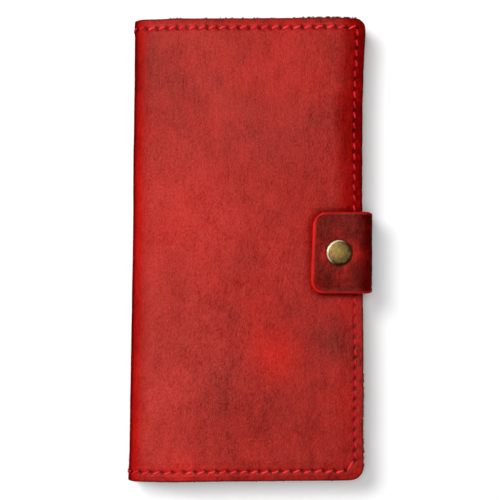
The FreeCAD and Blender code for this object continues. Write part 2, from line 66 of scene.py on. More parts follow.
# ---- places and sizes, from the frame ----
# the free edge, half the height and the thickness of the closed wallet
RIGHT, HALF, THICK = box_mm("front_cover")[1]
LEFT = box_mm("spine")[0][0]
HIDE = THICK - box_mm("banknote_pocket")[1][2]
STACK_LOW = box_mm("card_pocket_front")[0][2]
TRAY_LOW, TRAY_HIGH = box_mm("phone_pocket")
BASE_LOW, BASE_HIGH = box_mm("strap_base")
TAB_LOW, TAB_HIGH = box_mm("strap_tab")
CAP_LOW, CAP_HIGH = box_mm("snap_cap")
BOX_LOW, BOX_HIGH = (corner[:2] for corner in box_mm("strap_seam_thread"))
# outer radius of each fold, where it starts, its length round and the middle of the spine laid out flat
FOLD = box_mm("spine_liner")[0][2]
FOLD_X = LEFT + FOLD
QUARTER = FOLD * math.pi / 2
SPLIT = FOLD_X - QUARTER - (THICK / 2 - FOLD)
CLEAR = 0.05
# grid lines on either side of the step round the strap's root
RECESS_LINES = ((BASE_LOW[0] - 2 * CLEAR, BASE_LOW[0] - CLEAR),
                (BASE_LOW[1] - 2 * CLEAR, BASE_LOW[1] - CLEAR,
                 BASE_HIGH[1] + CLEAR, BASE_HIGH[1] + 2 * CLEAR))
SNAP = (CAP_LOW + CAP_HIGH) / 2

# ---- strap's outline ----
STRAP_MIDDLE = (BASE_LOW[1] + BASE_HIGH[1]) / 2
STRAP_HALF = (BASE_HIGH[1] - BASE_LOW[1]) / 2
TAB_CORNER = 5.5

# ---- seams ----
CORNER, TAIL_CORNER = 4.6, 5.4
SEAM_X = RIGHT - 3.2
SEAM_Y = HALF - 3.7
PITCH = 4.13
STRAP_PITCH = 3.3
# how a slit and its stitch slant: along the row, across it at head and tail, and across it at the side
SLIT_ALONG, SLIT_ACROSS, SIDE_ACROSS = 0.62, 0.5, 0.24
SLIT_LENGTH, SLIT_WIDTH = 1.05, 0.55
THREAD = 0.42
THREAD_TUCK = 0.6
# heights of a stitch's middle: at its ends inside the leather, and how far it rises from there
THREAD_SUNK, THREAD_RISE = 0.75, 0.95
# grid lines round each stitching hole
HOLE_LINES = (-1.6, -1.05, -0.6, -0.2, 0.2, 0.6, 1.05, 1.6)


# ---- small maths ----
# cells in a noise table before it repeats, and a length too short to matter
NOISE_CELLS = 97
HAIR = 0.01


def step(low, high, value):
    """0 below low, 1 above high and smooth between; low may be the larger."""
    t = np.clip((value - low) / (high - low), 0, 1)
    return t * t * (3 - 2 * t)


def bump(value, width):
    """1 at 0, falling off smoothly over width."""
    return np.exp(-(value / width) ** 2)


def noise(x, y, size, seed):
    """Smooth noise from -1 to 1 with features of one size, in mm."""
    table = np.random.default_rng(seed).uniform(-1, 1, (NOISE_CELLS, NOISE_CELLS))
    u, v = np.asarray(x) / size, np.asarray(y) / size
    i, j = np.floor(u).astype(int), np.floor(v).astype(int)
    fu, fv = u - i, v - j
    fu, fv = fu * fu * (3 - 2 * fu), fv * fv * (3 - 2 * fv)
    i0, i1, j0, j1 = (cell % NOISE_CELLS for cell in (i, i + 1, j, j + 1))
    low = table[i0, j0] * (1 - fu) + table[i1, j0] * fu
    high = table[i0, j1] * (1 - fu) + table[i1, j1] * fu
    return low * (1 - fv) + high * fv


def layers(x, y, seed, *parts):
    """Sum of noises, each given as (strength, size) and with a seed of its own."""
    return sum(strength * noise(x, y, size, seed + order) for order, (strength, size) in enumerate(parts))


# ---- how the worn wallet has settled ----
# sideways offset of the free edge and of the spine by height, and how far the ends stand out by width, in mm
EDGE_BOW = ((-92, 0.7), (-70, 0.3), (-58, 0.5), (-35, 0.45), (-10, 0.1), (25, 0.0), (58, 0.1),
            (72, 0.55), (83, 1.15), (92, 1.5))
SPINE_BOW = ((-92, -1.5), (-80, -0.85), (-60, -0.6), (-25, 0.0), (10, 0.45), (40, 0.5), (65, 1.15),
             (85, 1.35), (92, 1.2))
HEAD_SWELL = ((-46, -0.95), (-43, -0.6), (-38, -0.5), (-30, -0.15), (-22, -0.1), (5, 0.0), (20, 0.12),
              (33, 0.35), (40, 0.1))
TAIL_SWELL = ((-46, 0.15), (-41, 0.4), (-28, 0.65), (-22, 0.5), (-10, 0.3), (5, 0.2), (20, 0.0),
              (40, -0.15))


def along(table, value):
    """Value of a table of (place, offset) at a place."""
    places, offsets = zip(*table)
    return np.interp(value, places, offsets)


def settle_xy(x, y):
    """The free edge bows in at the strap, the spine leans a little and its ends draw in."""
    bow = along(EDGE_BOW, y) * step(12, SEAM_X, x)
    lean = along(SPINE_BOW, y) * step(-8, FOLD_X, x)
    swell = np.where(y > 0, along(HEAD_SWELL, x), along(TAIL_SWELL, x)) * step(20, HALF, np.abs(y))
    return x + bow + lean, y + swell * np.sign(y)


def settled(x, y, z):
    """Points of the settled wallet from flat x and y and a finished height."""
    return np.stack([*settle_xy(x, y), z], 1)


def settle_front(x, y, z):
    """The front's stack of leather is pressed thinner at its sewn edges and a little crowned inside them."""
    to_side, to_end = RIGHT - x, HALF - np.abs(y)
    crown = 0.25 * step(8, 30, np.minimum(to_side, to_end))
    sag = 1.5 * step(12, 0, to_side) + 0.5 * step(8, -1, to_end) - crown
    return z - sag * np.clip((z - STACK_LOW) / (THICK - STACK_LOW), 0, 1.5)


# ---- meshes ----
def add_mesh(name, points, faces, material, slot, **channels):
    """A piece from points in mm. Its rest places and any channels are kept as attributes for its material."""
    mesh = bpy.data.meshes.new(name)
    points = np.asarray(points, float)
    mesh.from_pydata((points * MM).tolist(), [], faces)
    mesh.polygons.foreach_set("use_smooth", [True] * len(mesh.polygons))
    mesh.set_sharp_from_angle(angle=math.radians(60))
    rest = mesh.attributes.new("rest", "FLOAT_VECTOR", "POINT")
    rest.data.foreach_set("vector", points.astype(np.float32).ravel())
    if "tone" in channels:
        channels.setdefault("sheen", np.ones(len(points)))
    for channel, values in channels.items():
        kept = mesh.attributes.new(channel, "FLOAT", "POINT")
        kept.data.foreach_set("value", np.asarray(values, np.float32))
    mesh.materials.append(material)
    piece = bpy.data.objects.new(name, mesh)
    bpy.context.scene.collection.objects.link(piece)
    return piece


def border(columns, rows):
    """(i, j) of the points round a grid, anticlockwise from its first corner."""
    loop = [(i, 0) for i in range(columns)]
    loop += [(columns - 1, j) for j in range(1, rows)]
    loop += [(i, rows - 1) for i in range(columns - 2, -1, -1)]
    return loop + [(0, j) for j in range(rows - 2, 0, -1)]


def grid_faces(indices, flip=False):
    """Quads over a 2-D array of point indices."""
    quads = np.stack([indices[:-1, :-1], indices[1:, :-1], indices[1:, 1:], indices[:-1, 1:]], -1)
    quads = quads.reshape(-1, 4)
    return (quads[:, ::-1] if flip else quads).tolist()


def turned_over(faces, over=True):
    """The same faces seen from their other side."""
    return [face[::-1] for face in faces] if over else faces


def round_turn(sides):
    """Evenly spaced angles of a full turn."""
    return np.linspace(0, 2 * math.pi, sides, endpoint=False)


def tube_faces(index, flip=False):
    """Quads round a tube from its (ring, point) indices, and its two ends."""
    faces = grid_faces(np.concatenate([index, index[:, :1]], 1), flip)
    return faces + [index[0].tolist(), index[-1][::-1].tolist()]


def even_lines(low, high, gap):
    """Grid lines from low to high, about gap apart."""
    return np.linspace(low, high, max(2, round((high - low) / gap) + 1))


def mirrored(lines):
    """Lines from 0 upwards, with the same lines on the other side of 0 before them."""
    return [-line for line in lines[:0:-1]] + list(lines)


def thinned(lines, stride, keep):
    """Indices of every stride-th line, of the last one and of those nearest to the values to keep."""
    nearest = {int(np.argmin(np.abs(lines - value))) for value in keep}
    return sorted({*range(0, len(lines), stride), len(lines) - 1, *nearest})


def sheet(xs, ys, rim, place, stride=4, keep=((), ())):
    """A closed sheet over grid lines xs and ys: points, faces and each point's (x, y, inset, depth).

    rim holds the (inset, depth) of each ring from the outer face round the edge to the inner face. place
    turns arrays of x, y, inset and depth into points. The inner face keeps every stride-th line and those
    named in keep.
    """
    xs, ys = np.asarray(xs, float), np.asarray(ys, float)
    columns, rows = len(xs), len(ys)
    keep_x, keep_y = thinned(xs, stride, keep[0]), thinned(ys, stride, keep[1])
    grid_x, grid_y = np.meshgrid(xs, ys, indexing="ij")
    loop = border(columns, rows)
    loop_x, loop_y = np.array([(xs[i], ys[j]) for i, j in loop]).T
    coarse_x, coarse_y = np.meshgrid(xs[keep_x], ys[keep_y], indexing="ij")
    parts = [(grid_x.ravel(), grid_y.ravel(), *rim[0])]
    parts += [(loop_x, loop_y, *ring) for ring in rim[1:-1]]
    parts += [(coarse_x.ravel(), coarse_y.ravel(), *rim[-1])]
    where = np.concatenate([np.stack([x, y, np.full(len(x), inset), np.full(len(x), depth)], 1)
                            for x, y, inset, depth in parts])
    outer = np.arange(columns * rows).reshape(columns, rows)
    faces = grid_faces(outer)
    ring = [int(outer[i, j]) for i, j in loop]
    start = columns * rows
    count = len(loop)
    for _ in rim[1:-1]:
        after = list(range(start, start + count))
        faces += [[ring[k], after[k], after[(k + 1) % count], ring[(k + 1) % count]] for k in range(count)]
        ring, start = after, start + count
    inner = start + np.arange(len(keep_x) * len(keep_y)).reshape(len(keep_x), len(keep_y))
    faces += grid_faces(inner, flip=True)
    kept_x, kept_y = {i: n for n, i in enumerate(keep_x)}, {j: n for n, j in enumerate(keep_y)}
    stops = [k for k, (i, j) in enumerate(loop) if i in kept_x and j in kept_y]
    for this, following in zip(stops, stops[1:] + [count]):
        here, there = loop[this], loop[following % count]
        fine = [ring[k % count] for k in range(this, following + 1)]
        back = [int(inner[kept_x[i], kept_y[j]]) for i, j in (there, here)]
        faces.append(fine[::-1] + back[::-1])
    return place(*where.T), faces, where


def rounded_rim(thick, outer_round, inner_round):
    """(inset, depth) rings of a cut leather edge, rounded on both faces."""
    turns = [math.radians(a) for a in (0, 30, 60, 90)]
    rings = [(outer_round * (1 - math.sin(a)), outer_round * (1 - math.cos(a))) for a in turns]
    rings += [(inner_round * (1 - math.sin(a)), thick - inner_round * (1 - math.cos(a))) for a in turns[::-1]]
    return rings


def outline(x, y, inset):
    """Rounds the two free corners of a cover and draws its free sides in by inset."""
    corner = np.where(y < 0, TAIL_CORNER, CORNER)
    centre_x, centre_y = RIGHT - corner, HALF - corner
    p = np.clip((x - centre_x) / corner, 0, 1)
    q = np.clip((np.abs(y) - centre_y) / corner, 0, 1)
    reach = corner - inset
    out_x = np.where(x > centre_x, centre_x + reach * p * np.sqrt(1 - q * q / 2), x)
    out_y = np.where(np.abs(y) > centre_y, centre_y + reach * q * np.sqrt(1 - p * p / 2), np.abs(y))
    return out_x, np.sign(y) * out_y


def hide_point(x, y, depth):
    """A point of the front half of the hide: flat, then round the fold and down the spine."""
    past = np.clip(FOLD_X - x, 0, None)
    angle = np.clip(past / FOLD, 0, math.pi / 2)
    down = np.clip(past - QUARTER, 0, None)
    radius = FOLD - depth
    out_x = np.where(past > 0, FOLD_X - radius * np.sin(angle), x)
    out_z = np.where(past > 0, THICK - FOLD + radius * np.cos(angle) - down, THICK - depth)
    return out_x, y, out_z


# ---- stitches ----
def seam_rows(start_x, pitch=PITCH):
    """Holes of the head, free edge and tail rows, in sewing order."""
    across = round((SEAM_X - start_x) / pitch)
    down = round(2 * SEAM_Y / pitch)
    head = [(x, SEAM_Y) for x in np.linspace(start_x, SEAM_X, across + 1)]
    side = [(SEAM_X, y) for y in np.linspace(SEAM_Y, -SEAM_Y, down + 1)][:-1]
    tail = [(x, -SEAM_Y) for x in np.linspace(SEAM_X, start_x, across + 1)][1:]
    return [np.array(row) for row in (head, side, [side[-1], tail[0]], tail)]


def row_frame(row):
    """Direction along a row, direction across it, its pitch and how far its slits lean across."""
    pitch = np.linalg.norm(row[1] - row[0])
    run = (row[1] - row[0]) / pitch
    lean = SLIT_ACROSS if abs(run[0]) > abs(run[1]) else SIDE_ACROSS
    return run, np.array([-run[1], run[0]]), pitch, lean


def from_row(x, y, row):
    """How far points lie along a row from its first hole, and how far across it."""
    run, across, _, _ = row_frame(row)
    dx, dy = x - row[0][0], y - row[0][1]
    return dx * run[0] + dy * run[1], dx * across[0] + dy * across[1]


def slits(x, y, rows):
    """How deep a point is inside a stitching hole, from 0 to 1."""
    depth = np.zeros(np.shape(x))
    for row in rows:
        _, _, pitch, lean = row_frame(row)
        s, d = from_row(x, y, row)
        s = s - np.clip(np.round(s / pitch), 0, len(row) - 1) * pitch
        length = math.hypot(SLIT_ALONG, lean)
        a = (s * SLIT_ALONG - d * lean) / length
        b = (s * lean + d * SLIT_ALONG) / length
        # the side seam is pulled tight, and its holes gape only toward its ends
        open_share = 1.0 if lean == SLIT_ACROSS else 0.4 + 0.5 * step(15, 55, np.abs(y))
        depth = np.maximum(depth, open_share * np.exp(-(a / SLIT_LENGTH) ** 4 - (b / SLIT_WIDTH) ** 2))
    return depth


def stitches(rows, seed, around=10, stations=13):
    """Twisted thread from hole to hole: (x, y, lift) of each point, faces and the tone of each point."""
    random = np.random.default_rng(seed)
    points, faces, tones = [], [], []
    turn = round_turn(around)
    share = np.linspace(0, 1, stations)
    bow = np.sin(math.pi * share)
    for row in rows:
        run, across, _, lean = row_frame(row)
        # painted shade: thread in the side rows is darker, where the free edge slopes away from the light;
        # the head and tail rows' thread is lighter
        radius, painted_row_tone = (1.1, 0.15) if lean == SLIT_ACROSS else (0.95, -0.18)
        for a, b in zip(row, row[1:]):
            slant = lean * random.normal(1, 0.14)
            start = a + THREAD_TUCK * run - slant * across
            finish = b - THREAD_TUCK * run + slant * across
            sway = 0.08 * random.normal() * bow
            middle = start + (finish - start) * share[:, None] + across * sway[:, None]
            lift = (THREAD_RISE + 0.05 * random.normal()) * np.sqrt(bow) - THREAD_SUNK
            thick = THREAD * radius * random.normal(1, 0.05) * (0.72 + 0.28 * np.sqrt(bow))
            phase = random.uniform(0, math.pi)
            ply = 1 + 0.15 * np.cos(2 * (turn[None, :] - 5.0 * share[:, None] - phase))
            reach = thick[:, None] * ply
            ring = np.empty((stations, around, 3))
            ring[..., :2] = middle[:, None, :] + across * (reach * np.cos(turn))[..., None]
            ring[..., 2] = lift[:, None] + reach * np.sin(turn) * 0.85
            index = len(points) * stations * around + np.arange(stations * around).reshape(stations, around)
            faces += tube_faces(index, flip=True)
            points.append(ring.reshape(-1, 3))
            shade = 0.07 * random.normal() + painted_row_tone
            # painted shade: the thread is darker where it rounds a fold, turning away from the light
            shade -= 0.45 * step(FOLD_X, FOLD_X - 4, middle[:, 0].mean())
            tones.append(np.full(stations * around, shade))
    return np.concatenate(points), faces, np.concatenate(tones)


# ---- materials ----
class Shader:
    """A node material written as calls."""

    def __init__(self, name):
        self.material = bpy.data.materials.new(name)
        self.material.use_nodes = True
        self.tree = self.material.node_tree
        self.surface = self.tree.nodes["Principled BSDF"]

    def node(self, kind, inputs=None, **settings):
        """Adds a node, sets it up and returns it. An input may be a value or another node's output."""
        made = self.tree.nodes.new(kind)
        for name, value in settings.items():
            setattr(made, name, value)
        for name, value in (inputs or {}).items():
            self.feed(made.inputs[name], value)
        return made

    def feed(self, socket, value):
        """Links an output to a socket, or sets the socket's value."""
        if isinstance(value, bpy.types.NodeSocket):
            self.tree.links.new(value, socket)
        else:
            socket.default_value = value

    def attribute(self, name, output="Fac"):
        return self.node("ShaderNodeAttribute", attribute_name=name).outputs[output]

    def maths(self, operation, a, b=0.0, c=0.0):
        made = self.node("ShaderNodeMath", {0: a, 1: b, 2: c}, operation=operation)
        return made.outputs[0]

    def mapped(self, vector, scale):
        return self.node("ShaderNodeMapping", {"Vector": vector, "Scale": scale}).outputs[0]

    def noise(self, vector, scale, detail=3.0, roughness=0.6):
        """Noise with features about 1 / scale mm long on each axis."""
        made = self.node("ShaderNodeTexNoise", {"Vector": self.mapped(vector, scale), "Scale": 1.0,
                                                "Detail": detail, "Roughness": roughness})
        return made.outputs["Fac"]

    def fit(self, value, low, high, to_low=0.0, to_high=1.0):
        made = self.node("ShaderNodeMapRange", {"Value": value, "From Min": low, "From Max": high,
                                                "To Min": to_low, "To Max": to_high})
        return made.outputs[0]

    def mix(self, share, a, b, blend="MIX"):
        """Blends two colours. Inputs 6 and 7 and output 2 are the mix node's colour ones."""
        made = self.node("ShaderNodeMix", {0: share, 6: a, 7: b}, data_type="RGBA", blend_type=blend)
        return made.outputs[2]

    def ramp(self, value, stops):
        made = self.node("ShaderNodeValToRGB", {"Fac": value})
        ramp = made.color_ramp
        while len(ramp.elements) < len(stops):
            ramp.elements.new(0.5)
        for element, (place, colour) in zip(ramp.elements, stops):
            element.position = place
            element.color = (*colour, 1)
        return made.outputs["Color"]

    def bump(self, height, distance, normal=None):
        inputs = {"Height": height, "Distance": distance, "Strength": 1.0}
        if normal is not None:
            inputs["Normal"] = normal
        return self.node("ShaderNodeBump", inputs).outputs[0]

    def finish(self, **inputs):
        """Feeds the surface's inputs, named with underscores for spaces."""
        for name, value in inputs.items():
            self.feed(self.surface.inputs[name.replace("_", " ")], value)
        return self.material


def leather(name, dark, middle, light, edge, roughness=0.5, grain=1.0, specular=0.17):
    """Waxed pull-up leather: cloudy tone and haze, mottles, pores, painted shade in holes and its own edge
    colour.
    """
    s = Shader(name)
    rest = s.attribute("rest", "Vector")
    clouds = s.noise(rest, (0.045, 0.03, 0.045), 5.0)
    patches = s.noise(rest, (0.22, 0.12, 0.22), 6.0, 0.65)
    streaks = s.noise(rest, (1.1, 0.32, 1.1), 4.0)
    mottles = s.noise(rest, (2.3, 1.15, 2.3), 2.0)
    tone = s.attribute("tone")
    haze = 1.0
    for layer, strength, waxy in ((clouds, 0.16, 0.25), (patches, 0.28, 0.35), (streaks, 0.22, 0.35),
                                  (mottles, 0.30, 0.75)):
        tone = s.maths("ADD", tone, s.fit(layer, 0.2, 0.8, -strength, strength))
        haze = s.maths("ADD", haze, s.fit(layer, 0.2, 0.8, -waxy, waxy))
    colour = s.ramp(s.fit(tone, -0.8, 0.8), ((0.0, dark), (0.5, middle), (1.0, light)))
    fray = s.maths("MULTIPLY", s.attribute("edge"), s.fit(patches, 0.2, 0.8, 0.8, 1.1))
    colour = s.mix(fray, colour, (*edge, 1))
    # painted shade: the hole channel darkens the stitching holes and the ring round the snap's cap
    shade = s.maths("SUBTRACT", 1.0, s.maths("MULTIPLY", s.attribute("hole"), 0.92))
    shade = s.node("ShaderNodeCombineColor", {0: shade, 1: shade, 2: shade}).outputs[0]
    colour = s.mix(1.0, colour, shade, "MULTIPLY")
    pores = s.node("ShaderNodeTexVoronoi", {"Vector": s.mapped(rest, (1.5, 1.0, 1.5)), "Scale": 1.0,
                                            "Randomness": 1.0}, feature="SMOOTH_F1").outputs["Distance"]
    fine = s.noise(rest, (3.2, 1.8, 3.2), 5.0, 0.7)
    creases = s.noise(rest, (0.75, 0.2, 0.75), 3.0, 0.5)
    normal = s.bump(creases, 0.00016 * grain)
    normal = s.bump(pores, 0.00008 * grain, normal)
    normal = s.bump(fine, 0.00014 * grain, normal)
    gloss = s.fit(s.maths("ADD", patches, streaks), 0.6, 1.4, roughness - 0.08, roughness + 0.1)
    level = s.maths("MULTIPLY", s.attribute("sheen"), s.maths("MULTIPLY", haze, specular))
    return s.finish(Base_Color=colour, Roughness=gloss, Normal=normal, Specular_IOR_Level=level,
                    Specular_Tint=(1.0, 0.94, 0.76, 1))


def waxed_thread(name):
    """Bright red waxed thread with dark between its plies."""
    s = Shader(name)
    rest = s.attribute("rest", "Vector")
    fibres = s.noise(rest, (6.0, 6.0, 6.0))
    tone = s.maths("ADD", s.fit(fibres, 0.25, 0.75, 0.2, 0.8), s.attribute("tone"))
    colour = s.ramp(tone, ((0.0, (0.25, 0.002, 0.007)), (0.5, (0.56, 0.010, 0.022)),
                           (1.0, (0.85, 0.045, 0.05))))
    normal = s.bump(fibres, 0.00008)
    return s.finish(Base_Color=colour, Roughness=0.5, Normal=normal, Specular_IOR_Level=0.10)


def antique_brass(name, roughness=0.34):
    """Brass with an olive, cloudy patina and a painted highlight on one side of its rims."""
    s = Shader(name)
    rest = s.attribute("rest", "Vector")
    rim = s.attribute("edge")
    patina = s.noise(rest, (0.95, 0.95, 0.95), 6.0, 0.8)
    specks = s.noise(rest, (3.0, 3.0, 3.0), 4.0)
    colour = s.ramp(patina, ((0.36, (0.03, 0.024, 0.006)), (0.5, (0.075, 0.050, 0.014)),
                             (0.64, (0.15, 0.09, 0.033))))
    stain = s.ramp(s.noise(rest, (1.3, 1.3, 1.3)), ((0.42, (0.85, 1.10, 0.66)), (0.58, (1.25, 0.86, 0.95))))
    colour = s.mix(1.0, colour, stain, "MULTIPLY")
    colour = s.mix(s.fit(specks, 0.5, 0.66, 0, 0.75), colour, (0.03, 0.022, 0.006, 1))
    # painted highlight: the marked side of the rim is mixed toward pale brass
    colour = s.mix(s.maths("MULTIPLY", rim, 0.85), colour, (1.0, 0.88, 0.6, 1))
    scratches = s.noise(rest, (9.0, 0.8, 1.0))
    normal = s.bump(scratches, 0.00002)
    normal = s.bump(patina, 0.00007, normal)
    gloss = s.fit(patina, 0.3, 0.7, roughness - 0.06, roughness + 0.12)
    gloss = s.maths("SUBTRACT", gloss, s.maths("MULTIPLY", rim, 0.1))
    metal = s.maths("SUBTRACT", 0.92, s.maths("MULTIPLY", rim, 0.4))
    return s.finish(Base_Color=colour, Metallic=metal, Roughness=gloss, Normal=normal)


def spring_steel(name):
    """Drawn wire."""
    s = Shader(name)
    rest = s.attribute("rest", "Vector")
    drawn = s.noise(rest, (8.0, 8.0, 1.0), 2.0, 0.55)
    colour = s.ramp(drawn, ((0.3, (0.38, 0.38, 0.4)), (0.7, (0.6, 0.6, 0.62))))
    return s.finish(Base_Color=colour, Metallic=1.0, Roughness=s.fit(drawn, 0.2, 0.8, 0.2, 0.4))


OUTER = leather("outer_leather", (0.10, 0.0008, 0.0006), (0.285, 0.0022, 0.0012), (0.45, 0.006, 0.003),
                (0.05, 0.0005, 0.0005))
INNER = leather("inner_leather", (0.10, 0.002, 0.0015), (0.19, 0.004, 0.003), (0.27, 0.007, 0.005),
                (0.10, 0.002, 0.002), roughness=0.6, grain=0.8)
STRAP = leather("strap_leather", (0.035, 0.0003, 0.0003), (0.13, 0.002, 0.001), (0.36, 0.006, 0.006),
                (0.55, 0.010, 0.007), roughness=0.5, specular=0.08)
THREADS = waxed_thread("thread")
BRASS = antique_brass("antique_brass")
STEEL = spring_steel("spring_steel")


# ---- the outer hide ----
TONE_PATCHES = (  # across and up the cover as shares from its middle, radius in mm, strength
    (-0.55, 0.22, 26, 0.42), (-0.80, 0.02, 16, 0.12), (-0.05, -0.62, 26, -0.22), (0.24, -0.46, 9, 0.6),
    (0.08, -0.28, 6, 0.25), (0.30, -0.28, 8, -0.15), (0.55, -0.10, 16, -0.22), (0.68, -0.37, 14, -0.28),
    # the dark patch at 0.80, 0.17 lies along the tab's top edge and is partly painted shade of the tab
    (0.79, -0.39, 7, -0.30), (0.78, 0.55, 9, -0.16), (0.80, 0.85, 9, -0.12), (0.80, 0.17, 8, -0.12),
    (-0.88, 0.75, 16, -0.34), (0.35, 0.80, 20, 0.16), (-0.55, -0.93, 6, 0.45), (-0.8, -0.75, 24, 0.22),
    (0.4, -0.86, 20, -0.16),
    (0.9, -0.50, 8, -0.25), (-0.1, -0.28, 8, -0.22), (-0.05, -0.06, 9, -0.24),
    (0.0, 0.20, 13, -0.14), (0.1, 0.64, 14, -0.16),
    (-0.2, 0.5, 20, -0.08), (0.45, 0.45, 14, -0.08),
)

HAZE_PATCHES = (  # the same for the waxy haze on the leather
    (-0.45, 0.20, 18, 0.20), (0.25, -0.43, 10, -0.30), (-0.90, -0.80, 20, 0.22), (-0.10, -0.50, 9, 0.15),
    (0.1, 0.80, 22, 0.10), (0.75, -0.25, 12, -0.12),
)


def patched(x, y, patches):
    """Sum of soft round patches."""
    return sum(strength * bump(np.hypot(x - across * RIGHT, y - up * HALF), radius)
               for across, up, radius, strength in patches)


def tab_distance(x, y):
    """Distance outside the tab's rounded outline, or a shortened negative one inside it."""
    beyond_x = TAB_LOW[0] + TAB_CORNER - x
    beyond_y = np.abs(y - STRAP_MIDDLE) - STRAP_HALF + TAB_CORNER
    distance = np.hypot(np.clip(beyond_x, 0, None), np.clip(beyond_y, 0, None)) - TAB_CORNER
    distance = distance + np.minimum(np.maximum(beyond_x, beyond_y), 0)
    return np.maximum(distance, distance / 2.5)


def worn_and_shaded_shares(x, y, seed):
    """How far, from 0 to 1, a place is beside the free edge, outside its seam, past an end seam and up."""
    wander = layers(x, y, seed + 6, (1.8, 17), (1.2, 6))
    upper = step(-25, 20, y)
    band = step(32.5, 40, x + wander) * (0.35 + 0.65 * upper)
    strip = step(SEAM_X - 0.8, SEAM_X + 1.0, x)
    ends = step(SEAM_Y + 0.6, SEAM_Y + 2.5, np.abs(y))
    return band, strip, ends, upper


def cover_tone(x, y, seed):
    """The leather's large changes of tone, from dark (-1) to light (1)."""
    band, strip, ends, upper = worn_and_shaded_shares(x, y, seed)
    past = FOLD_X - x
    # painted shade: the cover is darkened along the fold's crest, where it turns away from the light
    painted_crest_shade = step(3.0, 5.8, past) * step(10.5, 7.5, past)
    # painted shadow darkens the cover round the tab, most of it past the tab's sides
    beside = step(STRAP_HALF - 1, STRAP_HALF + 1, np.abs(y - STRAP_MIDDLE))
    painted_tab_shadow = bump(tab_distance(x, y), 1.8) * (0.35 + 0.35 * beside)
    to_side = np.minimum(RIGHT - x, HALF - np.abs(y))
    tone = layers(x, y, seed, (0.10, 34), (0.10, 13)) + patched(x, y, TONE_PATCHES)
    tone = tone + 0.3 * noise(x, y, 1.6, seed + 5) * step(4.6, 3.4, to_side)
    # the band and the strip by the free edge are darkened as painted shade where the edge slopes away from
    # the light, and the strip partly as wear
    return tone - 0.30 * band * upper - (0.05 + 0.32 * upper) * strip - 0.03 * ends - 0.9 * painted_crest_shade - painted_tab_shadow


def cover_sheen(x, y, seed):
    """How much of the leather's waxy haze is left."""
    band, strip, ends, upper = worn_and_shaded_shares(x, y, seed)
    sheen = 1 - step(FOLD_X + 3.2, FOLD_X - 4.9, x)
    sheen = sheen * (1 - 0.85 * band * upper) * (1 - (0.15 + 0.7 * upper) * strip) * (1 - 0.3 * ends)
    sheen = sheen * (1 - 0.8 * bump(tab_distance(x, y), 2.0))
    sheen = sheen * (1 + 0.30 * step(8, -25, x) * (0.5 + 0.5 * step(20, -40, y)))
    return sheen * (1 + patched(x, y, HAZE_PATCHES))


def row_distance(x, y, rows):
    """Distance from the nearest of several straight rows of holes."""
    distance = np.full(np.shape(x), 99.0)
    for row in rows:
        s, d = from_row(x, y, row)
        past = s - np.clip(s, 0, np.linalg.norm(row[-1] - row[0]))
        distance = np.minimum(distance, np.hypot(past, d))
    return distance


def seam_relief(x, y, rows, holes=True):
    """The seam's channel with its puffed shoulders, and the holes."""
    distance = row_distance(x, y, rows)
    depth = 0.5 * slits(x, y, rows) if holes else 0
    shoulders = 0.04 + 0.10 * step(0, HALF, y)
    return shoulders * bump(distance - 1.7, 0.8) - 0.08 * bump(distance, 0.75) - depth


def hide_relief(x, y, rows, seed, back, holes=True):
    """Height of the hide's outer face: waves, wrinkles, what lies beneath pressing through, and the seam."""
    waves = layers(x, y, seed, (0.16, 42), (0.07, 15))
    wrinkles = 0.030 * noise(x, y, 5.0, seed + 2) + 0.016 * noise(x * 2.2, y, 3.4, seed + 3)
    pressed = 0.07 * step(HALF - 7.6, HALF - 6.6, np.abs(y)) + 0.05 * step(FOLD_X + 4.5, FOLD_X + 3.2, x)
    relief = waves + wrinkles - pressed + seam_relief(x, y, rows, holes)
    # the back lies flat on what carries it, so nothing stands proud of it
    return np.minimum(relief, 0.0) if back else relief


def hide_lines(start, rows):
    """Grid lines for a hide panel: close together at the holes."""
    xs = sorted({round(float(p[0] + d), 3) for p in rows[0] for d in HOLE_LINES})
    xs = [x for x in xs if start + 0.15 < x < SEAM_X + 1.7]
    ys = sorted({round(float(p[1] + d), 3) for p in (*rows[1], -rows[1][0]) for d in HOLE_LINES})
    ys = [y for y in ys if abs(y) < SEAM_Y + 1.7]
    end_lines = np.linspace(SEAM_Y + 2.0, HALF, 5)
    side_lines = np.linspace(SEAM_X + 2.0, RIGHT, 5)
    return [start, *xs, *side_lines], [*(-end_lines[::-1]), *ys, *end_lines]


def edge_fray(x, y, seed):
    """Unevenness of a cut edge, in mm."""
    return layers(x, y, seed, (0.05, 2.2), (0.045, 0.7))


def strap_rows():
    """Holes of the stitched box that holds the strap's root, a side at a time."""
    low = BOX_LOW + THREAD / 2
    high = BOX_HIGH - THREAD / 2
    corners = [(low[0], low[1]), (high[0], low[1]), (high[0], high[1]), (low[0], high[1])]
    rows = []
    for start, end in zip(corners, corners[1:] + corners[:1]):
        count = round(math.dist(start, end) / STRAP_PITCH)
        rows.append(np.linspace(start, end, count + 1))
    return rows


def in_recess(x, y):
    """Where the strap's root is let into the inside of the back hide."""
    beside = 1.5 * CLEAR
    return (x > BASE_LOW[0] - beside) & (y > BASE_LOW[1] - beside) & (y < BASE_HIGH[1] + beside)


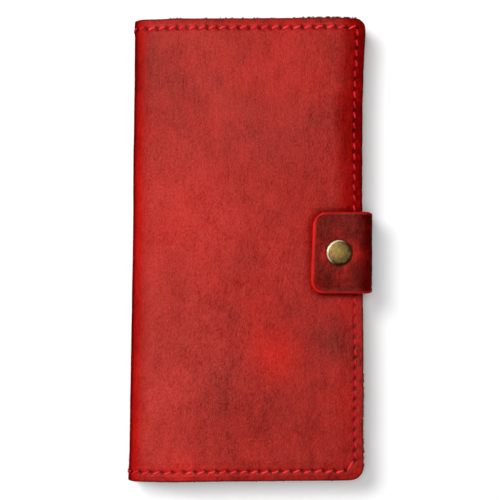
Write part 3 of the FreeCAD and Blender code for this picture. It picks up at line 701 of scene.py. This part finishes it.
def make_hide(name, back):
    """Half of the outer hide: a cover, its fold and the spine as far as its middle, with its stitches."""
    rows = seam_rows(SPLIT)
    holes = rows + strap_rows() if back else rows
    seed = 40 if back else 10
    xs, ys = hide_lines(SPLIT, rows)
    if back:
        xs = sorted(xs + list(RECESS_LINES[0]))
        ys = sorted(ys + list(RECESS_LINES[1]))

    def place(x, y, inset, depth):
        relief = hide_relief(x, y, holes, seed, back) * np.clip(1 - depth / 0.8, 0, 1)
        inset = inset + edge_fray(x, y, seed + 7) * (inset < 0.4)
        if back:
            depth = np.where(in_recess(x, y), np.minimum(depth, BASE_LOW[2] - CLEAR), depth)
        flat_x, flat_y = outline(x, y, inset)
        return finish_points(*hide_point(flat_x, flat_y, depth - relief), flat_x, flat_y, back)

    def place_thread(x, y, lift):
        depth = -lift - hide_relief(x, y, holes, seed, back, holes=False)
        return finish_points(*hide_point(x, y, depth), x, y, back)

    rim = rounded_rim(HIDE, 0.5, 0.35)
    points, faces, where = sheet(xs, ys, rim, place, keep=RECESS_LINES if back else ((), ()))
    x, y, _, depth = where.T
    seen_y = -y if back else y
    cut = np.minimum(np.minimum(RIGHT - x, HALF - np.abs(y)), 9)
    edge = np.maximum(step(0.55, 0.1, cut) * 0.6, step(0.08, 0.4, depth)) * (x > SPLIT + HAIR)
    # the hole channel paints shade into the stitching holes
    hide = add_mesh(name, points, turned_over(faces, back), OUTER, "outer_leather",
                    tone=cover_tone(x, seen_y, seed), sheen=cover_sheen(x, seen_y, seed), edge=edge,
                    hole=slits(x, y, holes) * (depth < 0.1))
    thread = sew(f"{name}_stitches", rows, seed + 3, place_thread, back)
    return hide, thread, place_thread


def sew(name, rows, seed, place, flip=False):
    """Stitches over a surface, as one piece. place turns arrays of x, y and lift into points."""
    thread, faces, tone = stitches(rows, seed)
    return add_mesh(name, place(*thread.T), turned_over(faces, flip), THREADS, "thread", tone=tone)


def finish_points(px, py, pz, sheet_x, sheet_y, back):
    """Settles points of the front half, or turns them over to make the back half."""
    return settled(px, py, THICK - pz if back else settle_front(sheet_x, sheet_y, pz))


def bend_fold(piece, back):
    """Bakes a hide piece's placing into its mesh; its fold is already in its points."""
    if back:
        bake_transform(piece)
    else:
        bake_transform(piece)


front_hide, front_thread, _ = make_hide("hide_front", back=False)
back_hide, back_thread, place_on_back = make_hide("hide_back", back=True)
box_thread = sew("hide_back_strap_stitches", strap_rows(), 43, place_on_back, flip=True)
for piece in (front_hide, front_thread):
    bend_fold(piece, back=False)
for piece in (back_hide, back_thread):
    bend_fold(piece, back=True)
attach(box_thread, "back")
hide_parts("front_cover", "spine")
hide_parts("front_seam_thread")
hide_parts("back_cover")
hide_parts("back_seam_thread", "spine_seam_thread")
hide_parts("strap_seam_thread")


def make_fibres(name, seed):
    """Short dark fibres that stand out of the front cover's cut edge."""
    random = np.random.default_rng(seed)
    sides = 5
    turn = round_turn(sides)
    # where each fibre stands and its size: thin along the head, thick towards its corner, finer elsewhere
    places = [(x, HALF, 1.0) for x in random.uniform(FOLD_X + 8, RIGHT - 6, 25)]
    places += [(x, HALF, 1.0) for x in random.normal(32, 6, 55).clip(5, RIGHT - 4)]
    places += [(RIGHT, y, 0.75) for y in random.uniform(-HALF + 4, -48, 80)]
    places += [(x, -HALF, 0.6) for x in random.uniform(FOLD_X + 3, RIGHT - 4, 6)]
    points, faces = [], []
    for x, y, scale in places:
        flat = np.array(outline(np.array([x]), np.array([y]), 0.12))
        outward = np.array([1.0, 0, 0]) if x == RIGHT else np.array([0, math.copysign(1, y), 0])
        outward[2] = random.normal(0, 0.25)
        outward[0 if x != RIGHT else 1] = random.normal(0, 0.45)
        length, thick = scale * random.uniform(0.4, 0.78), scale * random.uniform(0.18, 0.36)
        depth = random.uniform(0.25, HIDE - 0.3)
        side = np.cross(outward, [0, 0, 1.0])
        side /= np.linalg.norm(side)
        base = settled(*flat, settle_front(*flat, THICK - depth))[0]
        first = len(points)
        ring = np.outer(np.cos(turn), side) + np.outer(np.sin(turn), [0, 0, 1.0])
        for share, swell in ((-0.4, 0.8), (0.35, 1.0), (0.8, 0.6)):
            points.extend(base + outward * length * share + ring * thick * swell)
        points.append(base + outward * length)
        index = first + np.arange(3 * sides).reshape(3, sides)
        faces += grid_faces(np.concatenate([index, index[:, :1]], 1), flip=True)
        faces += [[int(index[2, k]), int(index[2, (k + 1) % sides]), first + 3 * sides] for k in range(sides)]
        faces.append(index[0][::-1].tolist())
    count = len(points)
    fibres = add_mesh(name, points, faces, OUTER, "outer_leather", tone=np.full(count, -0.8),
                      edge=np.full(count, 0.9), sheen=np.zeros(count))
    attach(fibres, "front")


make_fibres("edge_fibres", 55)


# ---- inside ----
POCKETS = ("banknote_pocket", "card_pocket_rear", "card_pocket_middle", "card_pocket_front")
POCKET_MARGIN = 4.3
# the tray's flat core, the rounding of its roof and foot, its wall, its leather and its thumb notch
CORE_X, CORE_Y = 35, 78
TRAY_ROUND = 2.2
FOOT_ROUND = 0.8
WALL_X = TRAY_HIGH[0] - 5.0
TRAY_THICK = 1.0
NOTCH = 11.0
DIVIDER_SUNK = 0.52


def add_inner_sheet(node, body, made, seed, tones, cut_edge, flip=True):
    """An inner sheet in place of its CAD node.

    tones holds the (strength, size) of its patches, and cut_edge the depths between which its rim is raw.
    """
    points, faces, where = made
    x, y, _, depth = where.T
    piece = add_mesh(node + "_sheet", points, turned_over(faces, flip), INNER, "inner_leather",
                     tone=layers(x, y, seed, *tones), edge=(depth > cut_edge[0]) & (depth < cut_edge[1]))
    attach(piece, body)
    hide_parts(node)


def make_pocket(node, seed, divided):
    """A card or note sheet: doubled at its sewn sides, open at its turned edge and lying under the cover."""
    low, high = box_mm(node)
    thick = high[2] - low[2]
    mouth = low[0]
    xs = [*even_lines(mouth, mouth + 6, 0.5), *even_lines(mouth + 7, RIGHT - 6, 1.5)]
    xs += [*even_lines(RIGHT - 5, RIGHT, 0.5)]
    ys = mirrored([*even_lines(0, 2.4, 0.4), *even_lines(3.5, HALF - 6, 1.5),
                   *even_lines(HALF - 5, HALF, 0.5)])

    def place(x, y, inset, depth):
        sewn = np.maximum(step(RIGHT - POCKET_MARGIN - 1, RIGHT - POCKET_MARGIN, x),
                          step(HALF - POCKET_MARGIN - 1, HALF - POCKET_MARGIN, np.abs(y)))
        if divided:
            sewn = np.maximum(sewn, step(1.4, 0.6, np.abs(y)))
        crease = 0.10 * bump(x - mouth - 3.4, 0.35)
        groove = 0.4 * bump(y, 0.75) if divided else 0
        slack = 0.12 * (1 - sewn) * layers(x, y, seed, (1, 9), (0.5, 3))
        z = low[2] + depth * (0.5 + 0.5 * sewn)
        z = z + CLEAR / 2 + np.where(depth < 0.4, crease + groove + np.maximum(slack, 0), 0)
        z = np.where(depth > 0.4, z - CLEAR, z)
        flat_x, flat_y = outline(x, y, inset)
        # the mouth's turned edge is rounded too, and a little wavy
        flat_x = flat_x + np.where(x <= mouth + HAIR, inset + 0.12 * noise(x, y, 12, seed + 2) + 0.12, 0)
        return settled(flat_x, flat_y, settle_front(flat_x, flat_y, z))

    made = sheet(xs, ys, rounded_rim(thick, 0.35, 0.35), place, stride=2)
    add_inner_sheet(node, "front", made, seed + 3, ((0.25, 16), (0.1, 5)), (0.3, thick - 0.3))


def front_level(x):
    """Height of the inner face of whatever lies lowest in the front at a place."""
    level = np.full(np.shape(x), THICK - HIDE)
    for node in POCKETS:
        low = box_mm(node)[0]
        level = np.where(x > low[0], low[2], level)
    return level


def sew_front(name, rows, seed, sunk=0.0):
    """Stitches on the inside of the front, pulled into the leather where something lies close."""
    def place(x, y, lift):
        return settled(x, y, settle_front(x, y, front_level(x) - lift + sunk))
    piece = sew(name, rows, seed, place, flip=True)
    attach(piece, "front")
    return piece


def tray_profile():
    """Radius, height, outward normal and flange share along the tray, from the core's edge out to its rim."""
    wall = WALL_X - CORE_X
    roof = TRAY_HIGH[2]
    flange = TRAY_LOW[2] + TRAY_THICK
    stations = [(r, roof, 0, 1, 0) for r in (0.0, 1.3, 2.6)]
    foot = wall + FOOT_ROUND
    for turn in np.radians((0, 22.5, 45, 67.5, 90)):
        out, up = math.sin(turn), math.cos(turn)
        stations.append((wall - TRAY_ROUND * (1 - out), roof - TRAY_ROUND * (1 - up), out, up, 0))
    for turn in np.radians((90, 45, 0)):
        out, up = math.sin(turn), math.cos(turn)
        stations.append((foot - FOOT_ROUND * out, flange + FOOT_ROUND * (1 - up), out, up, 0))
    stations += [(foot, flange, 0, 1, share) for share in (0.25, 0.5, 0.7, 0.85, 1.0)]
    return np.array(stations), foot


def make_tray(node, seed):
    """The phone pocket: one sheet moulded over the phone, sewn round three sides and open at the spine."""
    stations, foot = tray_profile()
    count = len(stations)
    mouth = TRAY_LOW[0]
    xs = [*even_lines(mouth, mouth + 3, 0.6), *even_lines(mouth + 4.5, CORE_X - 1.5, 1.6)]
    xs += [CORE_X + k for k in range(count)]
    by_notch = (9.0, 9.8, 10.4, 10.8, NOTCH, 11.4, 12.2, 13.5)
    ys = mirrored([*even_lines(0, 8, 1.0), *by_notch, *even_lines(15, CORE_Y - 1.5, 1.7),
                   *(CORE_Y + k for k in range(count))])

    def place(x, y, inset, depth):
        # past the core, each grid line is one station of the profile
        across = np.clip(x - CORE_X, 0, None)
        up = np.clip(np.abs(y) - CORE_Y, 0, None)
        level = np.maximum(across, up)
        radius, height, normal_out, normal_up, share = stations[np.round(level).astype(int)].T
        scale = np.where(level > 0, level, 1)
        a, b = across / scale, up / scale
        out_x, out_y = a * np.sqrt(1 - b * b / 2), b * np.sqrt(1 - a * a / 2)
        reach = radius - normal_out * depth - np.where(share < 1, 0, inset)
        beyond_x, beyond_y = (RIGHT - CORE_X - foot) * share, (HALF - CORE_Y - foot) * share
        round_x, round_y = CORE_X + (reach + beyond_x) * out_x, CORE_Y + (reach + beyond_y) * out_y
        square_x, square_y = outline(CORE_X + (foot + beyond_x) * a, CORE_Y + (foot + beyond_y) * b, inset)
        flat_x = np.where(across > 0, round_x * (1 - share) + square_x * share, x)
        flat_y = np.where(up > 0, round_y * (1 - share) + square_y * share, np.abs(y)) * np.sign(y)
        # thumb notch in the roof's edge at the mouth
        notch = np.sqrt(np.clip(NOTCH ** 2 - y ** 2, 0, None)) * np.clip(1 - (x - mouth) / 24, 0, 1)
        flat_x = flat_x + notch + np.where(x <= mouth + HAIR, inset, 0)
        on_roof = height > TRAY_HIGH[2] - 0.1
        slack = np.abs(0.18 * noise(x, y, 22, seed)) * step(0, 6, CORE_X + 3 - x)
        grain = 0.04 * noise(flat_x, flat_y, 6, seed + 1)
        return settled(flat_x, flat_y, height - normal_up * depth - (slack + grain) * on_roof)

    made = sheet(xs, ys, rounded_rim(TRAY_THICK, 0.25, 0.25), place, stride=1)
    add_inner_sheet(node, "back", made, seed + 3, ((0.3, 18), (0.1, 5)), (0.2, 0.8), flip=False)


def make_liner(node, seed):
    """Thin strip glued along the inside of the spine."""
    low, high = box_mm(node)

    def place(z, y, inset, depth):
        flat_y = y - np.sign(y) * np.where(np.abs(y) > HALF - HAIR, inset, 0)
        flat_z = z + np.where(z < low[2] + HAIR, inset, 0) - np.where(z > high[2] - HAIR, inset, 0)
        bulge = 0.05 * (1 + noise(y, z, 6, seed)) * (depth < 0.3)
        return settled(high[0] - depth - bulge, flat_y, flat_z)

    made = sheet(even_lines(low[2], high[2], 0.6), even_lines(-HALF, HALF, 1.2),
                 rounded_rim(high[0] - low[0] - CLEAR, 0.25, 0.2), place, stride=3)
    add_inner_sheet(node, "spine", made, seed + 1, ((0.25, 9),), (0.2, 0.6))


def place_on_flange(x, y, lift):
    """Stitches on the tray's flange."""
    return settled(x, y, TRAY_LOW[2] + TRAY_THICK + lift)


for order, pocket in enumerate(POCKETS):
    make_pocket(pocket, 60 + 10 * order, divided=order > 0)
make_tray("phone_pocket", 110)
make_liner("spine_liner", 120)
inner_rows = seam_rows(SEAM_X - PITCH * round((SEAM_X - FOLD_X - 2.0) / PITCH))
sew_front("front_inner_stitches", inner_rows, 130)
divider_row = np.stack([np.linspace(0.9, 38.9, 11), np.zeros(11)], 1)
divider_thread = sew_front("card_divider_stitches", [divider_row], 140, sunk=DIVIDER_SUNK)
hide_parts("card_divider_thread")
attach(sew("back_inner_stitches", inner_rows, 150, place_on_flange), "back")


# ---- strap ----
STRAP_OUT = box_mm("strap_wrap")[1][0]
STRAP_TOP = TAB_HIGH[2]
STRAP_BASE = BASE_LOW[2]
BEND = 3.35
BEND_X = STRAP_OUT - BEND
BEND_LENGTH = BEND * math.pi / 2
STRAP_THICK = 1.6
ROOT_THICK = 0.8
STRAP_BULGE = 0.35
STRAP_TAPER = 0.03
# how far the tab's tip and sides hang, and the hollow the cap is pressed into
TIP_DROOP, SIDE_DROOP = 1.2, 0.7
CAP_DISH, DISH_RADIUS = 0.28, 8.5
TO_SPLIT = BEND_LENGTH + (STRAP_TOP - STRAP_BASE) / 2 - BEND


def strap_point(s, y, depth, flat, lower):
    """A point of the strap at a length s from its end: flat, then round a bend and along its outside."""
    angle = np.clip((s - flat) / BEND_LENGTH, 0, 1) * math.pi / 2
    past = np.clip(s - flat - BEND_LENGTH, 0, None)
    radius = BEND - depth
    px = np.where(s < flat, BEND_X - flat + s, BEND_X + (radius + STRAP_BULGE) * np.sin(angle))
    pz = np.where(s < flat, STRAP_TOP - depth, STRAP_TOP - BEND + radius * np.cos(angle) - past)
    if lower:
        pz = STRAP_TOP + STRAP_BASE - pz
    return np.stack([px, y + STRAP_MIDDLE, pz], 1)


def strap_relief(s, y, flat, seed):
    """Waves, a pressed line along the edges and creases across the bend."""
    to_edge = np.minimum(STRAP_HALF - np.abs(y), np.where(s < 10, s, 99))
    crease = 0.10 * bump(to_edge - 1.9, 0.45)
    bend = step(flat - 3, flat + 1, s) * step(flat + BEND_LENGTH + 4, flat + BEND_LENGTH, s)
    wrinkles = 0.10 * bend * noise(s * 1.6, y * 0.5, 1.6, seed)
    return layers(s, y, seed + 1, (0.10, 9), (0.03, 2.5)) + wrinkles - crease


def from_cap(s, y):
    """Distance from the snap's middle on the tab."""
    return np.hypot(s - (SNAP[0] - TAB_LOW[0]), y - (SNAP[1] - STRAP_MIDDLE))


def strap_channels(s, y, depth, flat, end, seed, lower):
    """Tone, edge, sheen and the painted shadow round the cap over one half of the strap."""
    # painted shade: the strap darkens towards its bend, where it turns away from the light
    tone = 0.24 * noise(s, y, 5, seed + 4) - 0.3 - 0.3 * step(15, flat + 3, s)
    painted_cap_shadow = np.zeros(len(s))
    if not lower:
        # rubbed lighter round the cap and at the tip, with painted shadow in a thin ring beside the cap
        tone = tone + 0.95 * bump(from_cap(s, y), 6.5) + 0.3 * bump(s - 17, 5) * bump(y + 1, 6)
        tone = tone + 0.25 * step(8, 2, s) + layers(s, y, seed + 8, (0.16, 2.2), (0.13, 0.9))
        painted_cap_shadow = 0.75 * bump(from_cap(s, y) - 5.15, 0.42) * (depth < 0.6)
    tone = np.where(depth > 1.2, tone - 0.1, tone)
    to_edge = np.minimum(STRAP_HALF - np.abs(y), 99 if lower else 0.68 * s)
    # painted light: the bright cut edge is dimmed to half along the strap's long sides, so the tab's tip,
    # facing the light, keeps the brightest edge
    beside = step(STRAP_HALF - 3, STRAP_HALF - 0.5, np.abs(y)) * step(2, 5, s + 99 * lower)
    uneven_and_side_shaded = (0.8 + 0.2 * noise(s, y, 3, seed + 5)) * (1 - 0.5 * beside)
    edge = np.maximum(step(0.75, 0.0, to_edge), (depth > 0.05) & (depth < 1.2)) * uneven_and_side_shaded
    edge = np.where(s > end - HAIR, 0, edge) * np.where(depth > 1.2, 0.4, 1)
    sheen = (1 - 0.4 * edge) * (1 - 0.9 * step(flat - 5, flat + 2, s))
    return {"tone": tone, "edge": edge, "sheen": sheen, "hole": painted_cap_shadow}


def make_strap(name, seed, lower):
    """Half of the strap, from one end to the middle of its outside, with fully rounded, burnished edges."""
    flat = BEND_X - (BASE_LOW[0] if lower else TAB_LOW[0])
    end = flat + TO_SPLIT
    ss = [*even_lines(0, 3, 0.4), *even_lines(3.4, end - 3.4, 0.38), *even_lines(end - 3, end, 0.4)]
    ys = mirrored([*even_lines(0, STRAP_HALF - 3.2, 0.4), *even_lines(STRAP_HALF - 2.8, STRAP_HALF, 0.35)])

    def place_root(s, y, inset, depth, relief):
        # pared thin where it lies in the back cover's recess
        pared = step(flat + 0.4, flat - 0.8, s)
        depth = depth * (1 - pared * (1 - ROOT_THICK / STRAP_THICK)) + pared * CLEAR * (depth < 0.8)
        relief = relief * (1 - step(flat + 2, flat, s)) - pared * CLEAR * (depth < 0.5)
        flat_s = s + np.where(s < HAIR, inset, 0)
        return flat_s, np.abs(y) - np.where(np.abs(y) > STRAP_HALF - HAIR, inset, 0), depth - relief

    def place_tab(s, y, inset, depth, relief):
        # pressed down round the cap, with two rounded corners and a tip that isn't quite square
        relief = relief - CAP_DISH * np.clip(1 - (from_cap(s, y) / DISH_RADIUS) ** 2, 0, 1) ** 1.5
        p = np.clip(1 - s / TAB_CORNER, 0, 1)
        q = np.clip((np.abs(y) - STRAP_HALF + TAB_CORNER) / TAB_CORNER, 0, 1)
        reach = TAB_CORNER - inset
        flat_s = np.where(p > 0, TAB_CORNER - reach * p * np.sqrt(1 - q * q / 2), s)
        flat_s = flat_s + (0.035 * y + 0.1 * noise(y, s * 0, 5, seed + 6)) * step(15, 2, s)
        flat_y = np.where(q > 0, STRAP_HALF - TAB_CORNER + reach * q * np.sqrt(1 - p * p / 2), np.abs(y))
        return flat_s, flat_y, depth - relief

    def place(s, y, inset, depth):
        relief = strap_relief(s, y, flat, seed) * np.clip(1 - depth / 0.8, 0, 1)
        shaped = place_root if lower else place_tab
        flat_s, flat_y, level = shaped(s, y, inset, depth, relief)
        flat_y = flat_y * (1 - STRAP_TAPER * step(flat + 1, flat + BEND_LENGTH, s))
        placed = strap_point(flat_s, flat_y * np.sign(y), level, flat, lower)
        if not lower:
            placed[:, 2] -= TIP_DROOP * step(5.6, -0.5, s)
            placed[:, 2] -= SIDE_DROOP * step(7, STRAP_HALF, np.abs(y)) * step(flat, 9, s)
        return placed

    points, faces, where = sheet(ss, ys, rounded_rim(STRAP_THICK, 0.6, 0.5), place, stride=3)
    s, y, _, depth = where.T
    return add_mesh(name, points, turned_over(faces, lower), STRAP, "strap_leather",
                    **strap_channels(s, y, depth, flat, end, seed, lower))


strap_upper = make_strap("strap_upper", 160, lower=False)
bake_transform(strap_upper)
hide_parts("strap_tab", "strap_wrap")
strap_lower = make_strap("strap_lower", 170, lower=True)
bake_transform(strap_lower)
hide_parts("strap_base")


# ---- snap ----
# direction from the cap's middle to the part of its rim that gets a painted highlight
LIT_RIM_SIDE = math.radians(152)


def softened(profile, radius=0.12):
    """Cuts each corner of a closed profile twice, so that it turns smoothly. Corners on the axis stay."""
    points = np.array(profile, float)
    for size in (radius, radius / 2.6):
        made = []
        for before, here, after in zip(np.roll(points, 1, 0), points, np.roll(points, -1, 0)):
            if here[0] < HAIR:
                made.append(here)
                continue
            for side in (before - here, after - here):
                made.append(here + side * min(size / np.linalg.norm(side), 0.45))
        points = np.array(made)
    return points


def turned(name, profile, centre, material, slot, sides=72, wobble=0.0, seed=0):
    """A turned metal part from its closed (radius, height) profile. Points on the axis aren't repeated."""
    angles = round_turn(sides)
    points, rings = [], []
    for radius, height in profile:
        if radius < HAIR:
            rings.append([len(points)] * sides)
            points.append((0, 0, height))
            continue
        rings.append(list(range(len(points), len(points) + sides)))
        for angle in angles:
            dent = wobble * float(noise(angle * 4 + seed, height * 3 + radius, 1.5, seed))
            reach = radius + dent
            points.append((reach * math.cos(angle), reach * math.sin(angle), height + dent))
    faces = []
    for here, after in zip(rings, rings[1:] + rings[:1]):
        if here[0] == here[1] and after[0] == after[1]:
            continue
        for k in range(sides):
            corners = [here[k], here[(k + 1) % sides], after[(k + 1) % sides], after[k]]
            faces.append(list(dict.fromkeys(corners)))
    points = np.array(points)
    radius = np.hypot(points[:, 0], points[:, 1])
    away = np.arctan2(points[:, 1], points[:, 0]) - LIT_RIM_SIDE
    # painted highlight: the outer rim is marked only on its side towards the light
    rim = step(radius.max() - 0.8, radius.max() - 0.3, radius) * step(-0.25, 0.6, np.cos(away))
    return add_mesh(name, points + centre, faces, material, slot, edge=rim)


def cap_profile():
    """Shallow domed cap with a rolled rim, and its shank spread under the socket's plate."""
    radius = (CAP_HIGH[0] - CAP_LOW[0]) / 2
    crown = CAP_HIGH[2] - STRAP_TOP
    spread = CAP_LOW[2] - STRAP_TOP
    shank = [(0, spread), (1.65, spread), (1.65, spread + 0.2), (1.1, spread + 0.2), (1.1, 0.08)]
    rim = [(radius - 0.5, 0.04), (radius - 0.12, 0.12), (radius, 0.4), (radius - 0.03, 0.72),
           (radius - 0.18, 1.0), (radius - 0.45, 1.2), (radius - 0.85, 1.33)]
    dome = [(radius * share, crown - (crown - 1.33) * (share / 0.83) ** 2)
            for share in (0.7, 0.55, 0.4, 0.25, 0.1)]
    return shank + rim + dome + [(0, crown)]


def socket_profile(low, high):
    """Flanged socket, open below, with a groove for the spring inside."""
    outer = (high[0] - low[0]) / 2
    tall = low[2] - high[2]
    spring_low, spring_high = box_mm("snap_spring")
    groove = (spring_low[2] + spring_high[2]) / 2 - high[2]
    return [(1.2, -0.02), (outer, -0.02), (outer, -0.5), (3.5, tall), (2.5, tall), (2.5, groove - 0.27),
            (2.77, groove - 0.27), (2.77, groove + 0.27), (2.5, groove + 0.27), (2.5, -0.5), (1.2, -0.5)]


def stud_profile(low, high):
    """Stud with a flat base, a neck and a head that the spring grips."""
    base = (high[0] - low[0]) / 2
    tall = high[2] - low[2]
    return [(1.1, 0.02), (base, 0.02), (base, 0.25), (1.5, 0.5), (1.5, tall - 0.7), (1.95, tall - 0.5),
            (1.5, tall), (0, tall), (0, tall - 0.5), (1.1, tall - 0.5)]


def post_profile(low, high):
    """Flat flange under the cover and a pin up into the stud."""
    flange = (high[0] - low[0]) / 2
    rise = high[2] - low[2]
    return [(0, 0), (flange, 0), (flange, 0.48), (1.0, 0.48), (1.0, rise), (0, rise)]


def make_snap():
    """Cap and socket on the tab, stud and post on the front cover."""
    socket, stud, post = (box_mm("snap_" + name) for name in ("socket", "stud", "post"))
    parts = (
        ("cap", cap_profile(), STRAP_TOP, 0.05, "strap_tab", 0.01),
        ("socket", socket_profile(*socket), socket[1][2], 0.12, "strap_tab", 0),
        ("stud", stud_profile(*stud), stud[0][2], 0.12, "front", 0),
        ("post", post_profile(*post), post[0][2], 0.12, "front", 0),
    )
    for name, profile, height, rounding, body, wobble in parts:
        part = turned(f"snap_{name}_turned", softened(profile, rounding), (SNAP[0], SNAP[1], height), BRASS,
                      "antique_brass", wobble=wobble, seed=180)
        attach(part, body)
        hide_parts("snap_" + name)


def make_spring(stations=67, around=10):
    """Split ring of spring wire, in the socket's groove."""
    low, high = box_mm("snap_spring")
    wire = (high[2] - low[2]) / 2
    radius = (high[0] - low[0]) / 2 - wire
    along_ring = np.linspace(0, math.radians(330), stations)[:, None]
    turn = round_turn(around)
    reach = radius + wire * np.cos(turn)
    x, y = SNAP[0] + reach * np.cos(along_ring), SNAP[1] + reach * np.sin(along_ring)
    z = np.broadcast_to((high[2] + low[2]) / 2 + wire * np.sin(turn), x.shape)
    points = np.stack([x, y, z], -1)
    faces = tube_faces(np.arange(stations * around).reshape(stations, around))
    part = add_mesh("snap_spring_wire", points.reshape(-1, 3), faces, STEEL, "spring_steel")
    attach(part, "strap_tab")
    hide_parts("snap_spring")


make_snap()
make_spring()


# ---- stage ----
CAMERA_HEIGHT, VIEW_WIDTH, SENSOR = 700, 198.5, 36
CAMERA_SHIFT = (1.3, -0.2)
FLOOR_LEVEL = -0.55
FLOOR_SHADE = 0.83
ROOM_LIGHT = 0.08
LIGHTS = (  # name, place in metres, width and length in metres, watts
    ("top", (-0.02, 0.02, 1.5), 0.55, 0.55, 13.0),
    ("key", (-0.42, 0.40, 1.15), 0.5, 0.5, 11.5),
    ("side", (-1.1, 0.35, 0.5), 0.3, 1.3, 5.5),
    ("fill", (0.9, -0.15, 0.8), 0.4, 0.4, 1.0),
)


def linked(name, data, place):
    """A lamp or camera put into the scene."""
    made = bpy.data.objects.new(name, data)
    made.location = place
    bpy.context.scene.collection.objects.link(made)
    return made


def add_floor():
    """A pale matt floor just under the wallet."""
    bpy.ops.mesh.primitive_plane_add(size=6, location=(0, 0, FLOOR_LEVEL * MM))
    floor = bpy.context.object
    floor.name = "floor"
    paint = Shader("floor_paint")
    floor.data.materials.append(paint.finish(Base_Color=(*[FLOOR_SHADE] * 3, 1), Roughness=0.95))
    return floor


def add_lamp(name, place, width, length, power):
    """A soft area lamp that faces the middle of the floor."""
    lamp = bpy.data.lights.new(name, "AREA")
    lamp.shape = "ELLIPSE"
    lamp.size, lamp.size_y = width, length
    lamp.energy = power
    light = linked(name, lamp, place)
    light.rotation_euler = Vector(place).to_track_quat("Z", "Y").to_euler()
    return light


def add_camera():
    """A camera that looks straight down on the front cover."""
    data = bpy.data.cameras.new("camera")
    data.sensor_width = SENSOR
    data.lens = SENSOR * CAMERA_HEIGHT / VIEW_WIDTH
    data.clip_end = 10
    camera = linked("camera", data, Vector((*CAMERA_SHIFT, CAMERA_HEIGHT + THICK)) * MM)
    bpy.context.scene.camera = camera
    return camera


def set_room():
    """Even, faint light from all round."""
    world = bpy.data.worlds.new("room")
    world.use_nodes = True
    background = world.node_tree.nodes["Background"].inputs
    background["Color"].default_value = (1, 1, 1, 1)
    background["Strength"].default_value = ROOM_LIGHT
    bpy.context.scene.world = world
    bpy.context.scene.view_settings.view_transform = "Standard"


add_floor()
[add_lamp(*light) for light in LIGHTS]
add_camera()
set_room()
